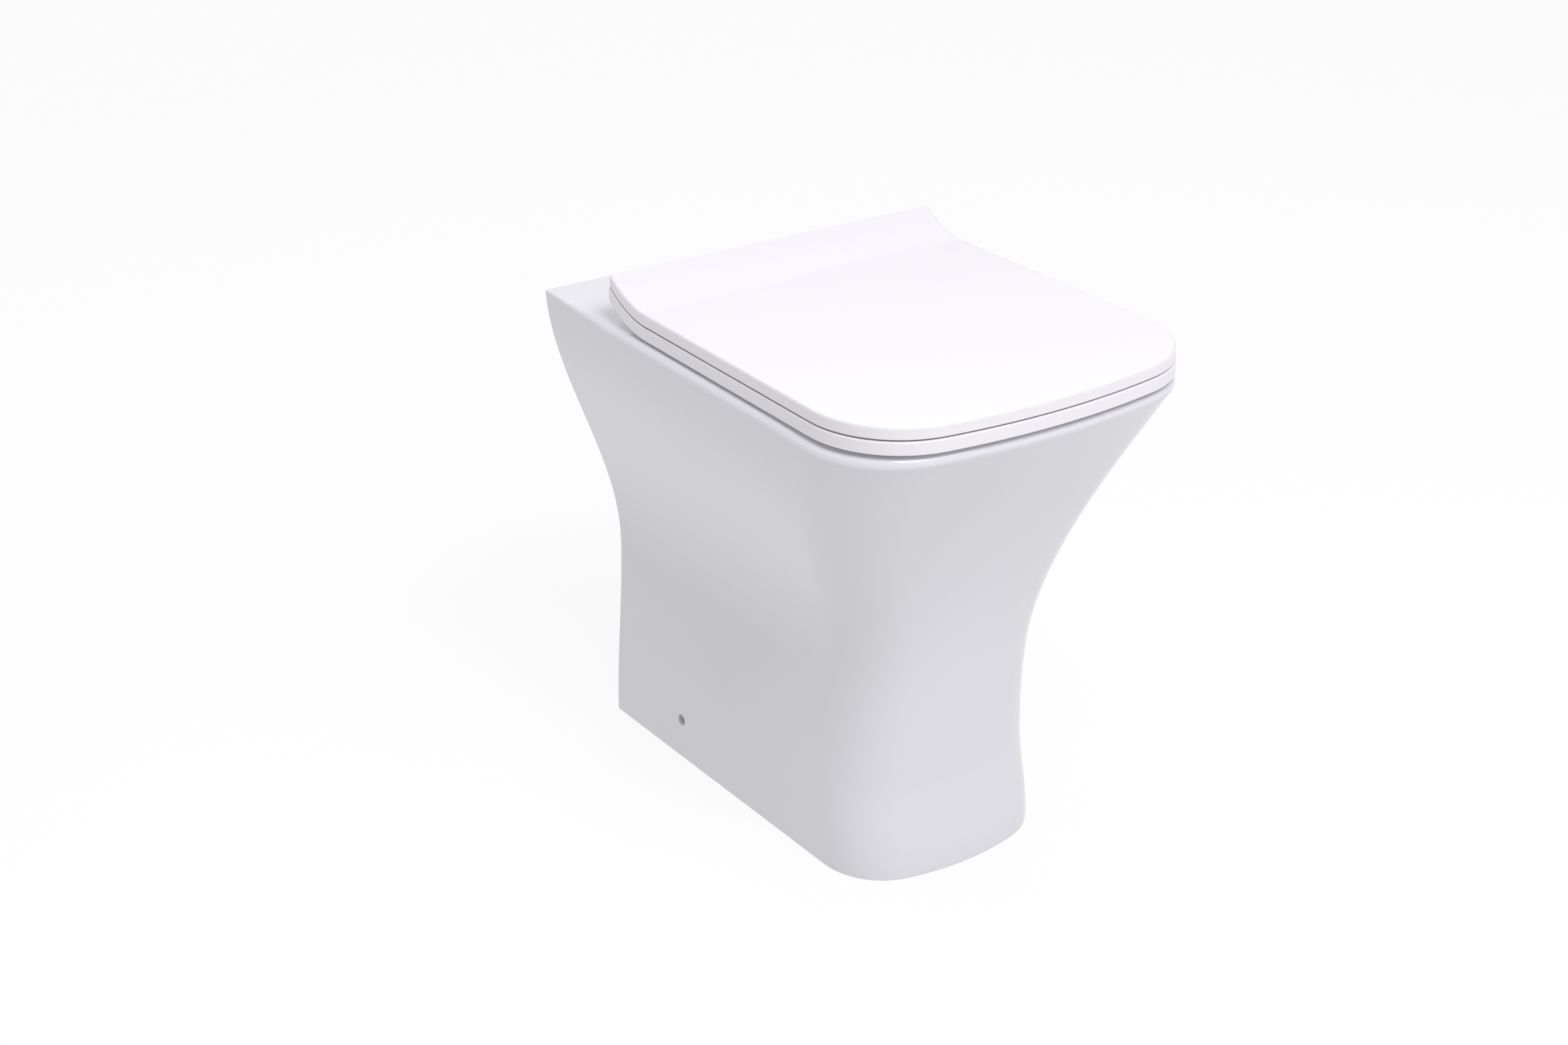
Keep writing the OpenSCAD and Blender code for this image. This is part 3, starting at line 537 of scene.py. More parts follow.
def dress(
    made: bpy.types.Object, finish: Finish, body: str, nodes: tuple[str, ...] = (),
    sharp: float = 38.0,
) -> None:
    """Finishes a new piece: smooth shading, material, body and the CAD nodes it stands for.

    Args:
        made: The piece, in its place.
        finish: Its finish.
        body: The body that it rides on.
        nodes: CAD nodes that it stands for.
        sharp: Angle in degrees past which an edge stays sharp.
    """
    weld(made.data)
    made.data.shade_smooth()
    made.data.set_sharp_from_angle(angle=math.radians(sharp))
    made.data.materials.clear()
    made.data.materials.append(finish.material())
    even = made.modifiers.new("even_normals", "WEIGHTED_NORMAL")
    even.mode, even.keep_sharp = "FACE_AREA_WITH_ANGLE", True
    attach(made, body)
    if nodes:
        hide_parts(*nodes)
    faces = len(made.data.polygons)
    log.info("%s: %d faces, rides on %s, stands for %s", made.name, faces, body, nodes or "nothing")


# ---- pan -------------------------------------------------------------------------------------


@dataclass
class Pan:
    """The china casting: flared skirt, rim and deck, rimless bowl, trapway, outlet and flush inlet."""

    wall_y: float = 250 * MM
    rim_z: float = 455 * MM
    foot_w: float = 238 * MM
    waist_w: float = 220 * MM
    waist_z: float = 187 * MM
    rim_w: float = 360 * MM
    side_flare: float = 0.12
    foot_taper: float = 13 * MM
    foot_depth: float = 407 * MM
    waist_depth: float = 395 * MM
    front_waist_z: float = 90 * MM
    rim_front_y: float = -247.5 * MM
    front_flare: float = 0.72
    foot_corner_r: float = 63 * MM
    rim_corner_r: float = 85 * MM
    front_bow: float = 24 * MM
    shoulder_h: float = 12.5 * MM
    shoulder_w: float = 20 * MM
    side_shoulder_h: float = 9 * MM
    side_shoulder_w: float = 15 * MM
    full_shoulder_y: float = -205 * MM
    side_shoulder_y: float = -90 * MM
    rear_shoulder_r: float = 3 * MM
    shoulder_from_y: float = 120 * MM
    skirt_wall: float = 10 * MM
    deck_wall: float = 15 * MM
    rear_edge_r: float = 2 * MM
    foot_edge_r: float = 1.5 * MM
    hair: float = 0.3 * MM
    mouth_w: float = 252 * MM
    mouth_front: float = -213.5 * MM
    mouth_rear_setback: float = 179 * MM
    mouth_edge_r: float = 6 * MM
    ledge_depth: float = 42 * MM
    ledge_w: float = 8 * MM
    bowl_wall: float = 9 * MM
    sump_z: float = 86 * MM
    sump_half_w: float = 24 * MM
    sump_half_l: float = 32 * MM
    sump_floor_r: float = 14 * MM
    water_z: float = 200 * MM
    trap_r: float = 26 * MM
    outlet_z: float = 180 * MM
    outlet_r: float = 51 * MM
    outlet_wall: float = 8 * MM
    outlet_length: float = 42 * MM
    outlet_setback: float = 20 * MM
    inlet_z: float = 385 * MM
    inlet_r: float = 27.5 * MM
    inlet_length: float = 40 * MM
    inlet_setback: float = 60 * MM
    flush_r: float = 18 * MM
    cone_length: float = 12 * MM
    stud_x: float = 77.5 * MM
    stud_y: float = 140 * MM
    stud_hole_r: float = 7 * MM
    side_hole_y: float = 136.5 * MM
    side_hole_z: float = 40.5 * MM
    side_hole_r: float = 5.5 * MM
    side_hole_from: float = 80 * MM
    side_hole_to: float = 130 * MM

    def __post_init__(self) -> None:
        """Works out the places that follow from the sizes."""
        loss = self.lost(self.shoulder_w, self.shoulder_h, self.front_flare)
        self.rim_depth = self.wall_y - self.rim_front_y + loss
        self.mouth_rear = self.wall_y - self.mouth_rear_setback
        self.mouth_length = self.mouth_rear - self.mouth_front
        self.sump_y = self.mouth_front + 0.51 * self.mouth_length
        self.bowl_top = self.rim_z - self.ledge_depth - 4 * MM
        self.deck_under = self.rim_z - self.deck_wall
        self.trap_end = self.wall_y - self.outlet_setback - self.outlet_length - self.cone_length

    @staticmethod
    def lost(width: np.ndarray, height: np.ndarray, flare: float) -> np.ndarray:
        """How much of a flared side's reach an oval round of this width and height takes off the top edge."""
        return width + flare * height - np.hypot(width, flare * height)

    @staticmethod
    def blended(y: np.ndarray, places: list[float], sizes: list[float]) -> np.ndarray:
        """A size that passes through values at places, easing in and out as t * t * (3 - 2 * t)."""
        t = np.interp(y, places, np.arange(len(places)))
        step = np.floor(t)
        eased = step + (t - step) ** 2 * (3 - 2 * (t - step))
        return np.interp(eased, np.arange(len(places)), sizes)

    def flare(
        self, z: np.ndarray, foot: float, waist: float, rim: float, waist_z: float, slope: float
    ) -> np.ndarray:
        """A profile that narrows from the foot to the waist and leans out to the rim, at heights z."""
        low = hermite(z / waist_z, foot, waist)
        rise = self.rim_z - waist_z
        high = hermite((z - waist_z) / rise, waist, rim, 0.0, slope * rise)
        return np.where(z < waist_z, low, high)

    def plan(self, z: np.ndarray, inset: np.ndarray, rear_y: np.ndarray, count: int = 240) -> np.ndarray:
        """The skirt's plan at heights z, moved in by inset, from the left rear round to the right rear."""
        t = np.clip(z / self.rim_z, 0, 1)
        half = self.flare(z, self.foot_w, self.waist_w, self.rim_w, self.waist_z, self.side_flare) / 2 - inset
        depth = self.flare(
            z, self.foot_depth, self.waist_depth, self.rim_depth, self.front_waist_z, self.front_flare
        )
        radius = self.foot_corner_r + (self.rim_corner_r - self.foot_corner_r) * t**6 - inset
        front = self.wall_y + inset - depth
        taper = self.foot_taper * (1 - t)
        return bowed_plan(half, half - taper, rear_y, front + self.front_bow, self.front_bow, radius, count)

    def whole_rings(self, strip: np.ndarray, rear: np.ndarray, edge_r: float) -> np.ndarray:
        """Whole rings from strips: small rounds at the rear corners and the rear edge join the ends.

        Args:
            strip: Strips from the left rear round the front to the right rear, shaped (rings, points, 3).
            rear: Y of each ring's rear edge.
            edge_r: Radius of the rear corners.

        Returns:
            Rings shaped (rings, points, 3).
        """
        quarter = np.linspace(0, math.pi / 2, 6)[1:]
        end = strip[:, -1:]
        x = end[:, :, 0] - edge_r + edge_r * np.cos(quarter)
        y = (rear - edge_r)[:, None] + edge_r * np.sin(quarter)
        corner = np.stack([x, y, np.broadcast_to(end[:, :, 2], x.shape)], axis=2)
        share = np.linspace(1, -1, 30)[None, 1:-1, None]
        mirror = np.array([-1.0, 1.0, 1.0])
        last = corner[:, -1:]
        straight = last * (1 + share) / 2 + last * mirror * (1 - share) / 2
        return np.concatenate([strip, corner, straight, corner[:, ::-1] * mirror], axis=1)

    def outside(self) -> np.ndarray:
        """Rings up the skirt's outside and over its shoulder to the deck.

        A point's height is its row's share of its own column, because the shoulder's oval round changes along
        the rim: full at the front, smaller along the sides where the seat lies close over it, and a small
        circle at the rear corners. On the shoulder, at the turn a, a point moves in by the round's width
        times (1 - cos a) and stands at the rim's height less the round's height times (1 - sin a). A smaller
        round would leave the sides wider, so they move in by what the largest takes off and theirs doesn't.

        Returns:
            Rings shaped (rings, points, 3).
        """
        levels = np.linspace(0, self.rim_z, 184)
        base = self.plan(levels, 0 * levels, np.full_like(levels, self.wall_y - self.rear_edge_r))
        columns = np.arange(base.shape[1])[None, :]
        rim_y = base[-1, :, 1]
        places = [self.full_shoulder_y, self.side_shoulder_y, self.shoulder_from_y, self.wall_y]
        heights = [self.shoulder_h, self.side_shoulder_h, self.side_shoulder_h, self.rear_shoulder_r]
        widths = [self.shoulder_w, self.side_shoulder_w, self.side_shoulder_w, self.rear_shoulder_r]
        radius, width = self.blended(rim_y, places, heights), self.blended(rim_y, places, widths)
        foot = np.linspace(0, math.pi / 2, 5)[:-1, None]
        a = np.linspace(0, math.pi / 2, 15)[1:, None]
        share = np.linspace(0, 1, 112)[:, None]
        wall_z = self.foot_edge_r + share * (self.rim_z - radius - self.foot_edge_r)
        z = np.concatenate([
            self.foot_edge_r * (1 - np.cos(foot)) + 0 * radius, wall_z, self.rim_z - radius * (1 - np.sin(a))
        ])
        inset = np.concatenate([
            self.foot_edge_r * (1 - np.sin(foot)) + 0 * radius, 0 * wall_z, width * (1 - np.cos(a))
        ])
        lean = self.side_flare / 2
        spare = self.lost(self.shoulder_w, self.shoulder_h, lean) - self.lost(width, radius, lean)
        inset += (spare + self.hair) * (z / self.rim_z) ** 6
        place = np.clip(z / levels[1], 0, len(levels) - 1.001)
        below = place.astype(int)
        part = (place - below)[:, :, None]
        point = base[below, columns] * (1 - part) + base[below + 1, columns] * part
        along = unit(np.gradient(point, axis=1))
        point += inset[:, :, None] * np.stack([-along[:, :, 1], along[:, :, 0]], axis=2)
        over = np.clip(z[:, -1] - (self.rim_z - self.rear_edge_r), 0, self.rear_edge_r)
        rear = self.wall_y - self.rear_edge_r + np.sqrt(np.maximum(0, self.rear_edge_r**2 - over**2))
        point[:, :, 1] = np.minimum(point[:, :, 1], rear[:, None] - self.rear_edge_r)
        return self.whole_rings(lifted(point, z), rear, self.rear_edge_r)

    def bowl_plan(self, t: np.ndarray, grow: np.ndarray, angles: np.ndarray) -> np.ndarray:
        """The bowl's ovals at shares t of the way down, grown outward, along given directions."""
        w, length = self.mouth_w, self.mouth_length
        half = hermite(t, w / 2 - self.ledge_w, self.sump_half_w, -0.16 * w, -0.13 * w) + grow
        front = hermite(
            t, self.mouth_front + self.ledge_w, self.sump_y - self.sump_half_l, 0.56 * length, 0.21 * length
        ) - grow
        rear = hermite(
            t, self.mouth_rear - self.ledge_w, self.sump_y + self.sump_half_l, -0.25 * length, -0.07 * length
        ) + grow
        return oval_at(angles, half, front, rear, 3 - 0.8 * t)

    def mouth_plan(self, grow: np.ndarray, angles: np.ndarray) -> np.ndarray:
        """The mouth's ovals, grown outward, along given directions."""
        return oval_at(angles, self.mouth_w / 2 + grow, self.mouth_front - grow, self.mouth_rear + grow, 3.0)

    def bowl_rings(self, grow: float, floor_z: float, angles: np.ndarray, steps: int) -> np.ndarray:
        """Rings of the bowl from the ledge down to its rounded floor, grown outward by one distance."""
        round_r = self.sump_floor_r + grow
        wall_z = floor_z + round_r
        t = np.linspace(0, 1, steps)
        fall = (self.bowl_top - wall_z) * t
        wall = lifted(self.bowl_plan(t, np.full_like(t, grow), angles), self.bowl_top - fall)
        a = np.linspace(0, math.pi / 2, 10)[1:]
        plan = self.bowl_plan(np.ones_like(a), grow - round_r * (1 - np.cos(a)), angles)
        floor = lifted(plan, wall_z - round_r * np.sin(a))
        return np.concatenate([wall, floor])

    def skin(self) -> bpy.types.Object:
        """One closed surface: up the skirt, over the shoulder, across the deck and down into the bowl.

        The rings on the deck run straight from the shoulder's ring to the mouth's, and the mouth is met along
        the directions in which the shoulder's points lie from the mouth's centre.
        """
        outside = self.outside()
        shoulder = outside[-1]
        centre_y = (self.mouth_front + self.mouth_rear) / 2
        angles = np.arctan2(shoulder[:, 1] - centre_y, shoulder[:, 0])
        edge = np.linspace(math.pi / 2, 0, 10)
        grow = self.mouth_edge_r * (1 - np.cos(edge))
        lip = lifted(self.mouth_plan(grow, angles), self.rim_z - self.mouth_edge_r * (1 - np.sin(edge)))
        share = np.linspace(0, 1, 14)[1:-1, None, None]
        deck = shoulder[None] * (1 - share) + lip[:1] * share
        upright_z = np.linspace(self.rim_z - self.mouth_edge_r, self.bowl_top + 16 * MM, 8)[1:]
        upright = lifted(self.mouth_plan(1 * MM * np.linspace(0, 1, 7), angles), upright_z)
        bowl = self.bowl_rings(0.0, self.sump_z, angles, 70)
        s = np.linspace(0, 1, 12)[1:-1]
        soft = (s * s * (3 - 2 * s))[:, None, None]
        ledge = upright[-1:] * (1 - soft) + bowl[:1] * soft
        ledge[:, :, 2] = (upright[-1, :, 2] * (1 - s[:, None]) + bowl[0, :, 2] * s[:, None])
        return loft("pan_casting", np.concatenate([outside, deck, lip, upright, ledge, bowl]))

    def hollow(self) -> bpy.types.Object:
        """The room behind the skirt, open to the floor and the wall, round the bowl and its pipes."""
        z = np.linspace(0, self.deck_under, 46)
        inset = np.full_like(z, self.skirt_wall)
        rear = np.full_like(z, self.wall_y + 4 * MM)
        rings = self.whole_rings(lifted(self.plan(z, inset, rear - 0.2 * MM), z), rear, 0.2 * MM)
        rings[0, :, 2] = -3 * MM
        room = loft("room", rings)
        angles = np.linspace(0, 2 * math.pi, 128, endpoint=False)
        out = self.bowl_wall + 1 * MM
        in_deck = np.array([self.deck_under + self.deck_wall / 2])
        top = lifted(self.mouth_plan(np.array([out]), angles), in_deck)
        below = self.bowl_rings(self.bowl_wall, self.sump_z - self.bowl_wall, angles, 40)
        bowl = np.concatenate([top, below])
        for tool in (
            loft("bowl_outside", bowl),
            self.trapway(self.trap_r + self.bowl_wall, "trap_outside"),
            self.outlet(self.trap_r + self.bowl_wall - 1 * MM, self.outlet_r, -4 * MM, 0.0, "outlet_outside"),
            self.inlet_outside(),
        ):
            combine(room, tool, Cut.DIFFERENCE)
        return room

    def trapway(self, radius: float, name: str) -> bpy.types.Object:
        """A tube out of the sump, up over the weir at water level and down to the outlet.

        The centre line is two cubic Bezier curves that meet level over the weir. Rings stand square to it.
        """
        weir_z, weir_y = self.water_z + self.trap_r, self.trap_end - 3 * self.trap_r
        dip_z = self.sump_z + self.trap_r
        rise, fall = weir_y - self.sump_y, self.trap_end - weir_y
        legs = (
            (
                (self.sump_y, dip_z), (self.sump_y + 0.69 * rise, dip_z),
                (weir_y - 0.42 * rise, weir_z), (weir_y, weir_z),
            ),
            (
                (weir_y, weir_z), (weir_y + 0.49 * fall, weir_z),
                (self.trap_end - 0.49 * fall, self.outlet_z), (self.trap_end, self.outlet_z),
            ),
        )
        t = np.linspace(0, 1, 33)[:, None]
        s = 1 - t
        line, run = [], []
        for leg, first in zip(legs, (0, 1)):
            p = np.array(leg)
            place = s**3 * p[0] + 3 * t * s**2 * p[1] + 3 * t * t * s * p[2] + t**3 * p[3]
            slope = s**2 * (p[1] - p[0]) + 2 * t * s * (p[2] - p[1]) + t * t * (p[3] - p[2])
            line.append(place[first:])
            run.append(slope[first:])
        centre = np.concatenate(line + [[[self.trap_end + 4 * MM, self.outlet_z]]])
        ahead = unit(np.concatenate(run + [[[1.0, 0.0]]]))
        a = np.linspace(0, 2 * math.pi, 56, endpoint=False)
        x = np.broadcast_to(-radius * np.cos(a), (len(centre), len(a)))
        y = centre[:, :1] - ahead[:, 1:] * radius * np.sin(a)
        z = centre[:, 1:] + ahead[:, :1] * radius * np.sin(a)
        return loft(name, np.stack([x, y, z], axis=2))

    def outlet(
        self, throat_r: float, mouth_r: float, start: float, past: float, name: str
    ) -> bpy.types.Object:
        """The outlet spigot's body or bore, turned round its centre line."""
        end = self.wall_y - self.outlet_setback
        straight = end - self.outlet_length
        profile = [(self.trap_end + start, 0.0), (self.trap_end + start, throat_r), (straight, mouth_r)]
        profile += [(end + past, mouth_r), (end + past, 0.0)]
        lip = 1.5 * MM if past == 0 else 0.0
        return lathe(name, rounded(profile, [0, 0, 0, lip, 0]), (0, 0, self.outlet_z), "Y", 96)

    def inlet_outside(self) -> bpy.types.Object:
        """The flush inlet's socket and its passage to the bowl, turned round its centre line."""
        end = self.wall_y - self.inlet_setback
        neck, socket = self.flush_r + self.bowl_wall, self.inlet_r + self.bowl_wall
        back, start = end - self.inlet_length, self.mouth_rear - 4 * MM
        profile = [(start, 0.0), (start, neck), (back - self.cone_length, neck)]
        profile += [(back, socket), (end, socket), (end, 0.0)]
        profile = rounded(profile, [0, 0, 4 * MM, 4 * MM, 2 * MM, 0])
        return lathe("inlet_outside", profile, (0, 0, self.inlet_z), "Y", 80)

    def inlet_inside(self) -> bpy.types.Object:
        """The flush inlet's bore down to its shoulder and on into the bowl."""
        end = self.wall_y - self.inlet_setback
        back = end - self.inlet_length
        start, past = self.mouth_rear - 30 * MM, end + 1 * MM
        profile = [(start, 0.0), (start, self.flush_r), (back - 6 * MM, self.flush_r)]
        profile += [(back, self.flush_r + 4 * MM), (back, self.inlet_r), (past, self.inlet_r), (past, 0.0)]
        return lathe("inlet_inside", profile, (0, 0, self.inlet_z), "Y", 80)

    def build(self) -> None:
        """Makes the casting and dresses it."""
        pan = self.skin()
        combine(pan, self.hollow(), Cut.DIFFERENCE)
        bores = [
            self.trapway(self.trap_r, "trap_inside"),
            self.outlet(
                self.trap_r - 1 * MM, self.outlet_r - self.outlet_wall, -1 * MM, 1 * MM, "outlet_inside"
            ),
            self.inlet_inside(),
        ]
        for side in (-1, 1):
            hole = bar(-1 * MM, self.deck_wall + 1 * MM, self.stud_hole_r)
            place = (side * self.stud_x, self.stud_y, self.deck_under)
            bores.append(lathe("stud_hole", hole, place, "Z", 48))
            reach = bar(side * self.side_hole_from, side * self.side_hole_to, self.side_hole_r)
            bores.append(lathe("side_hole", reach, (0, self.side_hole_y, self.side_hole_z), "X", 48))
        for bore in bores:
            combine(pan, bore, Cut.DIFFERENCE)
        dress(pan, CHINA, "pan", ("pan",))


# ---- buffers ---------------------------------------------------------------------------------


@dataclass(frozen=True)
class BufferSet:
    """Four soft buffers with pegs, under one plate."""

    name: str
    body: str
    node: str
    radius: float
    thickness: float
    front_x: float
    edge_r: float
    peg_r: float = 3 * MM
    peg_length: float = 3.1 * MM

    def places(self, z: float) -> list[tuple[float, float, float]]:
        """The four middles at one height, from the corners of the node's box and the front pair's spacing."""
        low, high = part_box(self.node)
        front, rear = low.y + self.radius, high.y - self.radius
        rear_x = high.x - self.radius
        return [(side * x, y, z) for side in (-1, 1) for x, y in ((self.front_x, front), (rear_x, rear))]

    def build(self) -> None:
        """Makes the buffers: slightly domed heads, each with the peg that is pressed into the plate."""
        low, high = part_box(self.node)
        t, r = self.thickness, self.radius
        profile = [(0.0, 0.0), (0.0, 0.55 * r), (0.12 * t, r - self.edge_r), (self.edge_r, r), (t, r)]
        profile += [(t, self.peg_r), (high.z - low.z, self.peg_r), (high.z - low.z, 0.0)]
        radii = [0, 0, 0.2 * MM, 0.2 * MM, 0.15 * MM, 0, 0.6 * MM, 0]
        made = lathe(self.name, rounded(profile, radii), self.places(low.z), "Z", 56)
        dress(made, RUBBER, self.body, (self.node,))


SEAT_BUFFERS = BufferSet(
    "seat_buffer_pads", "seat", "seat_buffers", 10 * MM, 1.4 * MM, 72 * MM, 0.6 * MM, peg_length=4.1 * MM
)
LID_BUFFERS = BufferSet("lid_buffer_pads", "lid", "lid_buffers", 7 * MM, 1.4 * MM, 60 * MM, 0.4 * MM)


# ---- seat and lid ----------------------------------------------------------------------------


@dataclass
class Plates:
    """What the seat and the lid share: one outline and one curled tail, ruled from side to side."""

    front_y: float = -250 * MM
    rear_y: float = 146 * MM
    front_w: float = 350 * MM
    rear_w: float = 346 * MM
    bow: float = 24 * MM
    corner_r: float = 82 * MM
    rear_r: float = 2 * MM
    tail_length: float = 61 * MM
    tail_r: float = 100 * MM
    under_seat: float = 456.5 * MM
    seat_thickness: float = 11 * MM
    under_lid: float = 469 * MM
    lid_thickness: float = 10.98 * MM
    hinge_y: float = 140 * MM
    hinge_z: float = 473.5 * MM
    draft: float = 0.03
    lug_r: float = 8 * MM
    lug_w: float = 8 * MM
    lug_edge_r: float = 0.8 * MM
    bore_r: float = 3.55 * MM
    seat_lug_x: float = 46.5 * MM
    lid_lug_x: float = 100.5 * MM

    def curl(self, y: np.ndarray) -> np.ndarray:
        """Rise of the tail at y: an arc of a circle that starts level."""
        over = np.clip(y - (self.rear_y - self.tail_length), 0, None)
        return self.tail_r - np.sqrt(self.tail_r**2 - over**2)

    def outline(self, inset: np.ndarray, count: int = 301) -> np.ndarray:
        """Outlines moved in by inset, from the left of the rear edge round the front to its right."""
        r = self.rear_r
        rear = self.rear_y - inset
        strip = bowed_plan(
            self.rear_w / 2 - inset, self.front_w / 2 - inset, rear - r, self.front_y + self.bow + inset,
            self.bow, self.corner_r - inset, count,
        )
        quarter = np.linspace(0, math.pi / 2, 9)[1:]
        end_x = strip[:, -1, :1]
        corner_x, corner_y = end_x - r + r * np.cos(quarter), (rear - r)[:, None] + r * np.sin(quarter)
        corner = np.stack([corner_x, corner_y], axis=2)
        return np.concatenate([corner[:, ::-1] * np.array([-1.0, 1.0]), strip, corner], axis=1)

    def edge(self, inset: float, thickness: float, low: float, high: float) -> tuple[np.ndarray, np.ndarray]:
        """The plate's edge from below to above: a soft underside, a leaning side and a round top.

        The inset grows with the level by the draft that lets a moulding out of its mould.

        Args:
            inset: Inset of the widest part.
            thickness: The plate's thickness.
            low: How far the underside's edge draws in.
            high: Radius of the upper edge.

        Returns:
            Insets and levels.
        """
        a = np.linspace(0, math.pi / 2, 10)
        under = inset + low * (1 - np.sin(a)), 1.6 * low * (1 - np.cos(a))
        top = inset + high * (1 - np.cos(a)), thickness - high + high * np.sin(a)
        level = np.concatenate([under[1], top[1]])
        return np.concatenate([under[0], top[0]]) + self.draft * level, level

    def lug(self, name: str, x: float, side: int, length: float, height: float) -> bpy.types.Object:
        """A hinge lug: a round end on the hinge line and an arm up into the plate."""
        low, high = sorted((side * x, side * (x + self.lug_w)))
        ends = bar(low, high, self.lug_r, self.lug_edge_r, self.lug_edge_r)
        made = lathe(name, ends, (0, self.hinge_y, self.hinge_z), "X", 64)
        y0, y1 = self.hinge_y - self.lug_r, self.hinge_y - self.lug_r + length
        ring = np.array([(low, y0), (high, y0), (high, y1), (low, y1)])[None].repeat(2, 0)
        combine(made, loft("arm", lifted(ring, np.array([self.hinge_z, self.hinge_z + height]))), Cut.UNION)
        return made

    def lug_bore(self, x: float, side: int) -> bpy.types.Object:
        """The bore through a lug on the hinge line."""
        low, high = sorted((side * (x - 1 * MM), side * (x + self.lug_w + 1 * MM)))
        return lathe("bore", bar(low, high, self.bore_r), (0, self.hinge_y, self.hinge_z), "X", 48)

    def sockets(self, level: float, buffers: BufferSet) -> bpy.types.Object:
        """The blind holes that the buffers' pegs are pressed into."""
        hole = bar(-1 * MM, buffers.peg_length + 0.3 * MM, buffers.peg_r)
        return lathe("sockets", hole, buffers.places(level), "Z", 32)


@dataclass
class Lid(Plates):
    """The lid: a slim plate whose top and underside are ruled between mirrored points of the outline."""

    inset: float = 0.8 * MM
    edge_r: float = 3 * MM
    low_edge: float = 0.4 * MM

    def build(self) -> None:
        """Makes the lid with its hinge lugs and dresses it."""
        inset, level = self.edge(self.inset, self.lid_thickness, self.low_edge, self.edge_r)
        plan = self.outline(inset)
        rings = lifted(plan, self.under_lid + level[:, None] + self.curl(plan[:, :, 1]))
        half = rings.shape[1] // 2 + 1
        near = [0, 0.004, 0.01, 0.025]
        share = np.concatenate([near, np.linspace(0.05, 0.95, 25), [0.975, 0.99, 0.996, 1]])[None, :, None]
        ruled = lambda left, right: left[:, None] * (1 - share) + right[:, None] * share
        sheets = [rings] + [ruled(ring[:half], ring[::-1][:half]) for ring in (rings[0], rings[-1])]
        sheets.append(ruled(rings[:, 0], rings[:, -1]))
        lid = solid("lid_plate", [(sheet, quads(*sheet.shape[:2], closed_columns=False)) for sheet in sheets])
        top = float(self.curl(np.array(self.hinge_y)))
        height = self.under_lid + top + 3 * MM - self.hinge_z
        combine(lid, self.sockets(self.under_lid, LID_BUFFERS), Cut.DIFFERENCE)
        for side in (-1, 1):
            combine(lid, self.lug("lid_lug", self.lid_lug_x, side, self.lug_r + 4 * MM, height), Cut.UNION)
            combine(lid, self.lug_bore(self.lid_lug_x, side), Cut.DIFFERENCE)
        dress(lid, SEAT_PLASTIC, "lid", ("lid",))


@dataclass
class Seat(Plates):
    """The seat ring: its section is carried round from the outline to the opening and back underneath."""

    opening_w: float = 224 * MM
    opening_front: float = -196 * MM
    opening_rear: float = 66 * MM
    notch_x: float = 54.5 * MM
    notch_w: float = 55 * MM
    notch_y: float = 126 * MM
    notch_r: float = 3 * MM
    low_edge: float = 0.4 * MM
    edge_r: float = 1.5 * MM
    opening_top_r: float = 5 * MM
    opening_under_r: float = 2.5 * MM
    opening_power: float = 3.0

    def build(self) -> None:
        """Makes the ring with its hinge notches and lugs and dresses it."""
        inset, level = self.edge(0.0, self.seat_thickness, self.low_edge, self.edge_r)
        plan = self.outline(inset)
        across = np.linspace(0, 1, 42)[None, 1:-1, None]
        rear = plan[:, -1:] * (1 - across) + plan[:, :1] * across
        plan = np.concatenate([plan, rear], axis=1)
        outer = plan[-1]
        centre_y = (self.opening_front + self.opening_rear) / 2
        angles = np.arctan2(outer[:, 1] - centre_y, outer[:, 0])
        opening = lambda grow: oval_at(
            angles, self.opening_w / 2 + grow, self.opening_front - grow, self.opening_rear + grow,
            self.opening_power,
        )
        a = np.linspace(math.pi / 2, 0, 9)
        top_r, under_r = self.opening_top_r, self.opening_under_r
        inner_grow = np.concatenate([top_r * (1 - np.cos(a)), under_r * (1 - np.cos(a[::-1]))])
        inner_level = np.concatenate([
            self.seat_thickness - top_r * (1 - np.sin(a)), under_r * (1 - np.sin(a[::-1]))
        ])
        inner = opening(inner_grow)
        share = np.linspace(0, 1, 22)[1:-1, None, None]
        over = plan[-1:] * (1 - share) + inner[:1] * share
        under = inner[-1:] * (1 - share) + plan[:1] * share
        rings = np.concatenate([plan, over, inner, under])
        flat_top, flat_under = np.full(len(over), self.seat_thickness), np.zeros(len(under))
        levels = np.concatenate([level, flat_top, inner_level, flat_under])
        grid = lifted(rings, self.under_seat + levels[:, None] + self.curl(rings[:, :, 1]))
        seat = solid("seat_ring", [(grid, quads(len(grid), grid.shape[1], closed_rows=True))])
        combine(seat, self.sockets(self.under_seat, SEAT_BUFFERS), Cut.DIFFERENCE)
        for side in (-1, 1):
            combine(seat, self.notch(side), Cut.DIFFERENCE)
            combine(seat, self.lug("seat_lug", self.seat_lug_x, side, self.lug_r + 2 * MM, 3 * MM), Cut.UNION)
            combine(seat, self.lug_bore(self.seat_lug_x, side), Cut.DIFFERENCE)
        dress(seat, SEAT_PLASTIC, "seat", ("seat",))

    def notch(self, side: int) -> bpy.types.Object:
        """The room that a hinge needs in the seat's tail, with rounded inner corners."""
        low, high = sorted((side * self.notch_x, side * (self.notch_x + self.notch_w)))
        past = self.rear_y + 2 * MM
        corners = [(low, self.notch_y), (high, self.notch_y), (high, past), (low, past)]
        plan = np.array(rounded(corners, [self.notch_r, self.notch_r, 0, 0]))[None].repeat(2, 0)
        return loft("notch", lifted(plan, np.array([self.under_seat - 5 * MM, self.under_lid + 30 * MM])))


# ---- hinges ----------------------------------------------------------------------------------


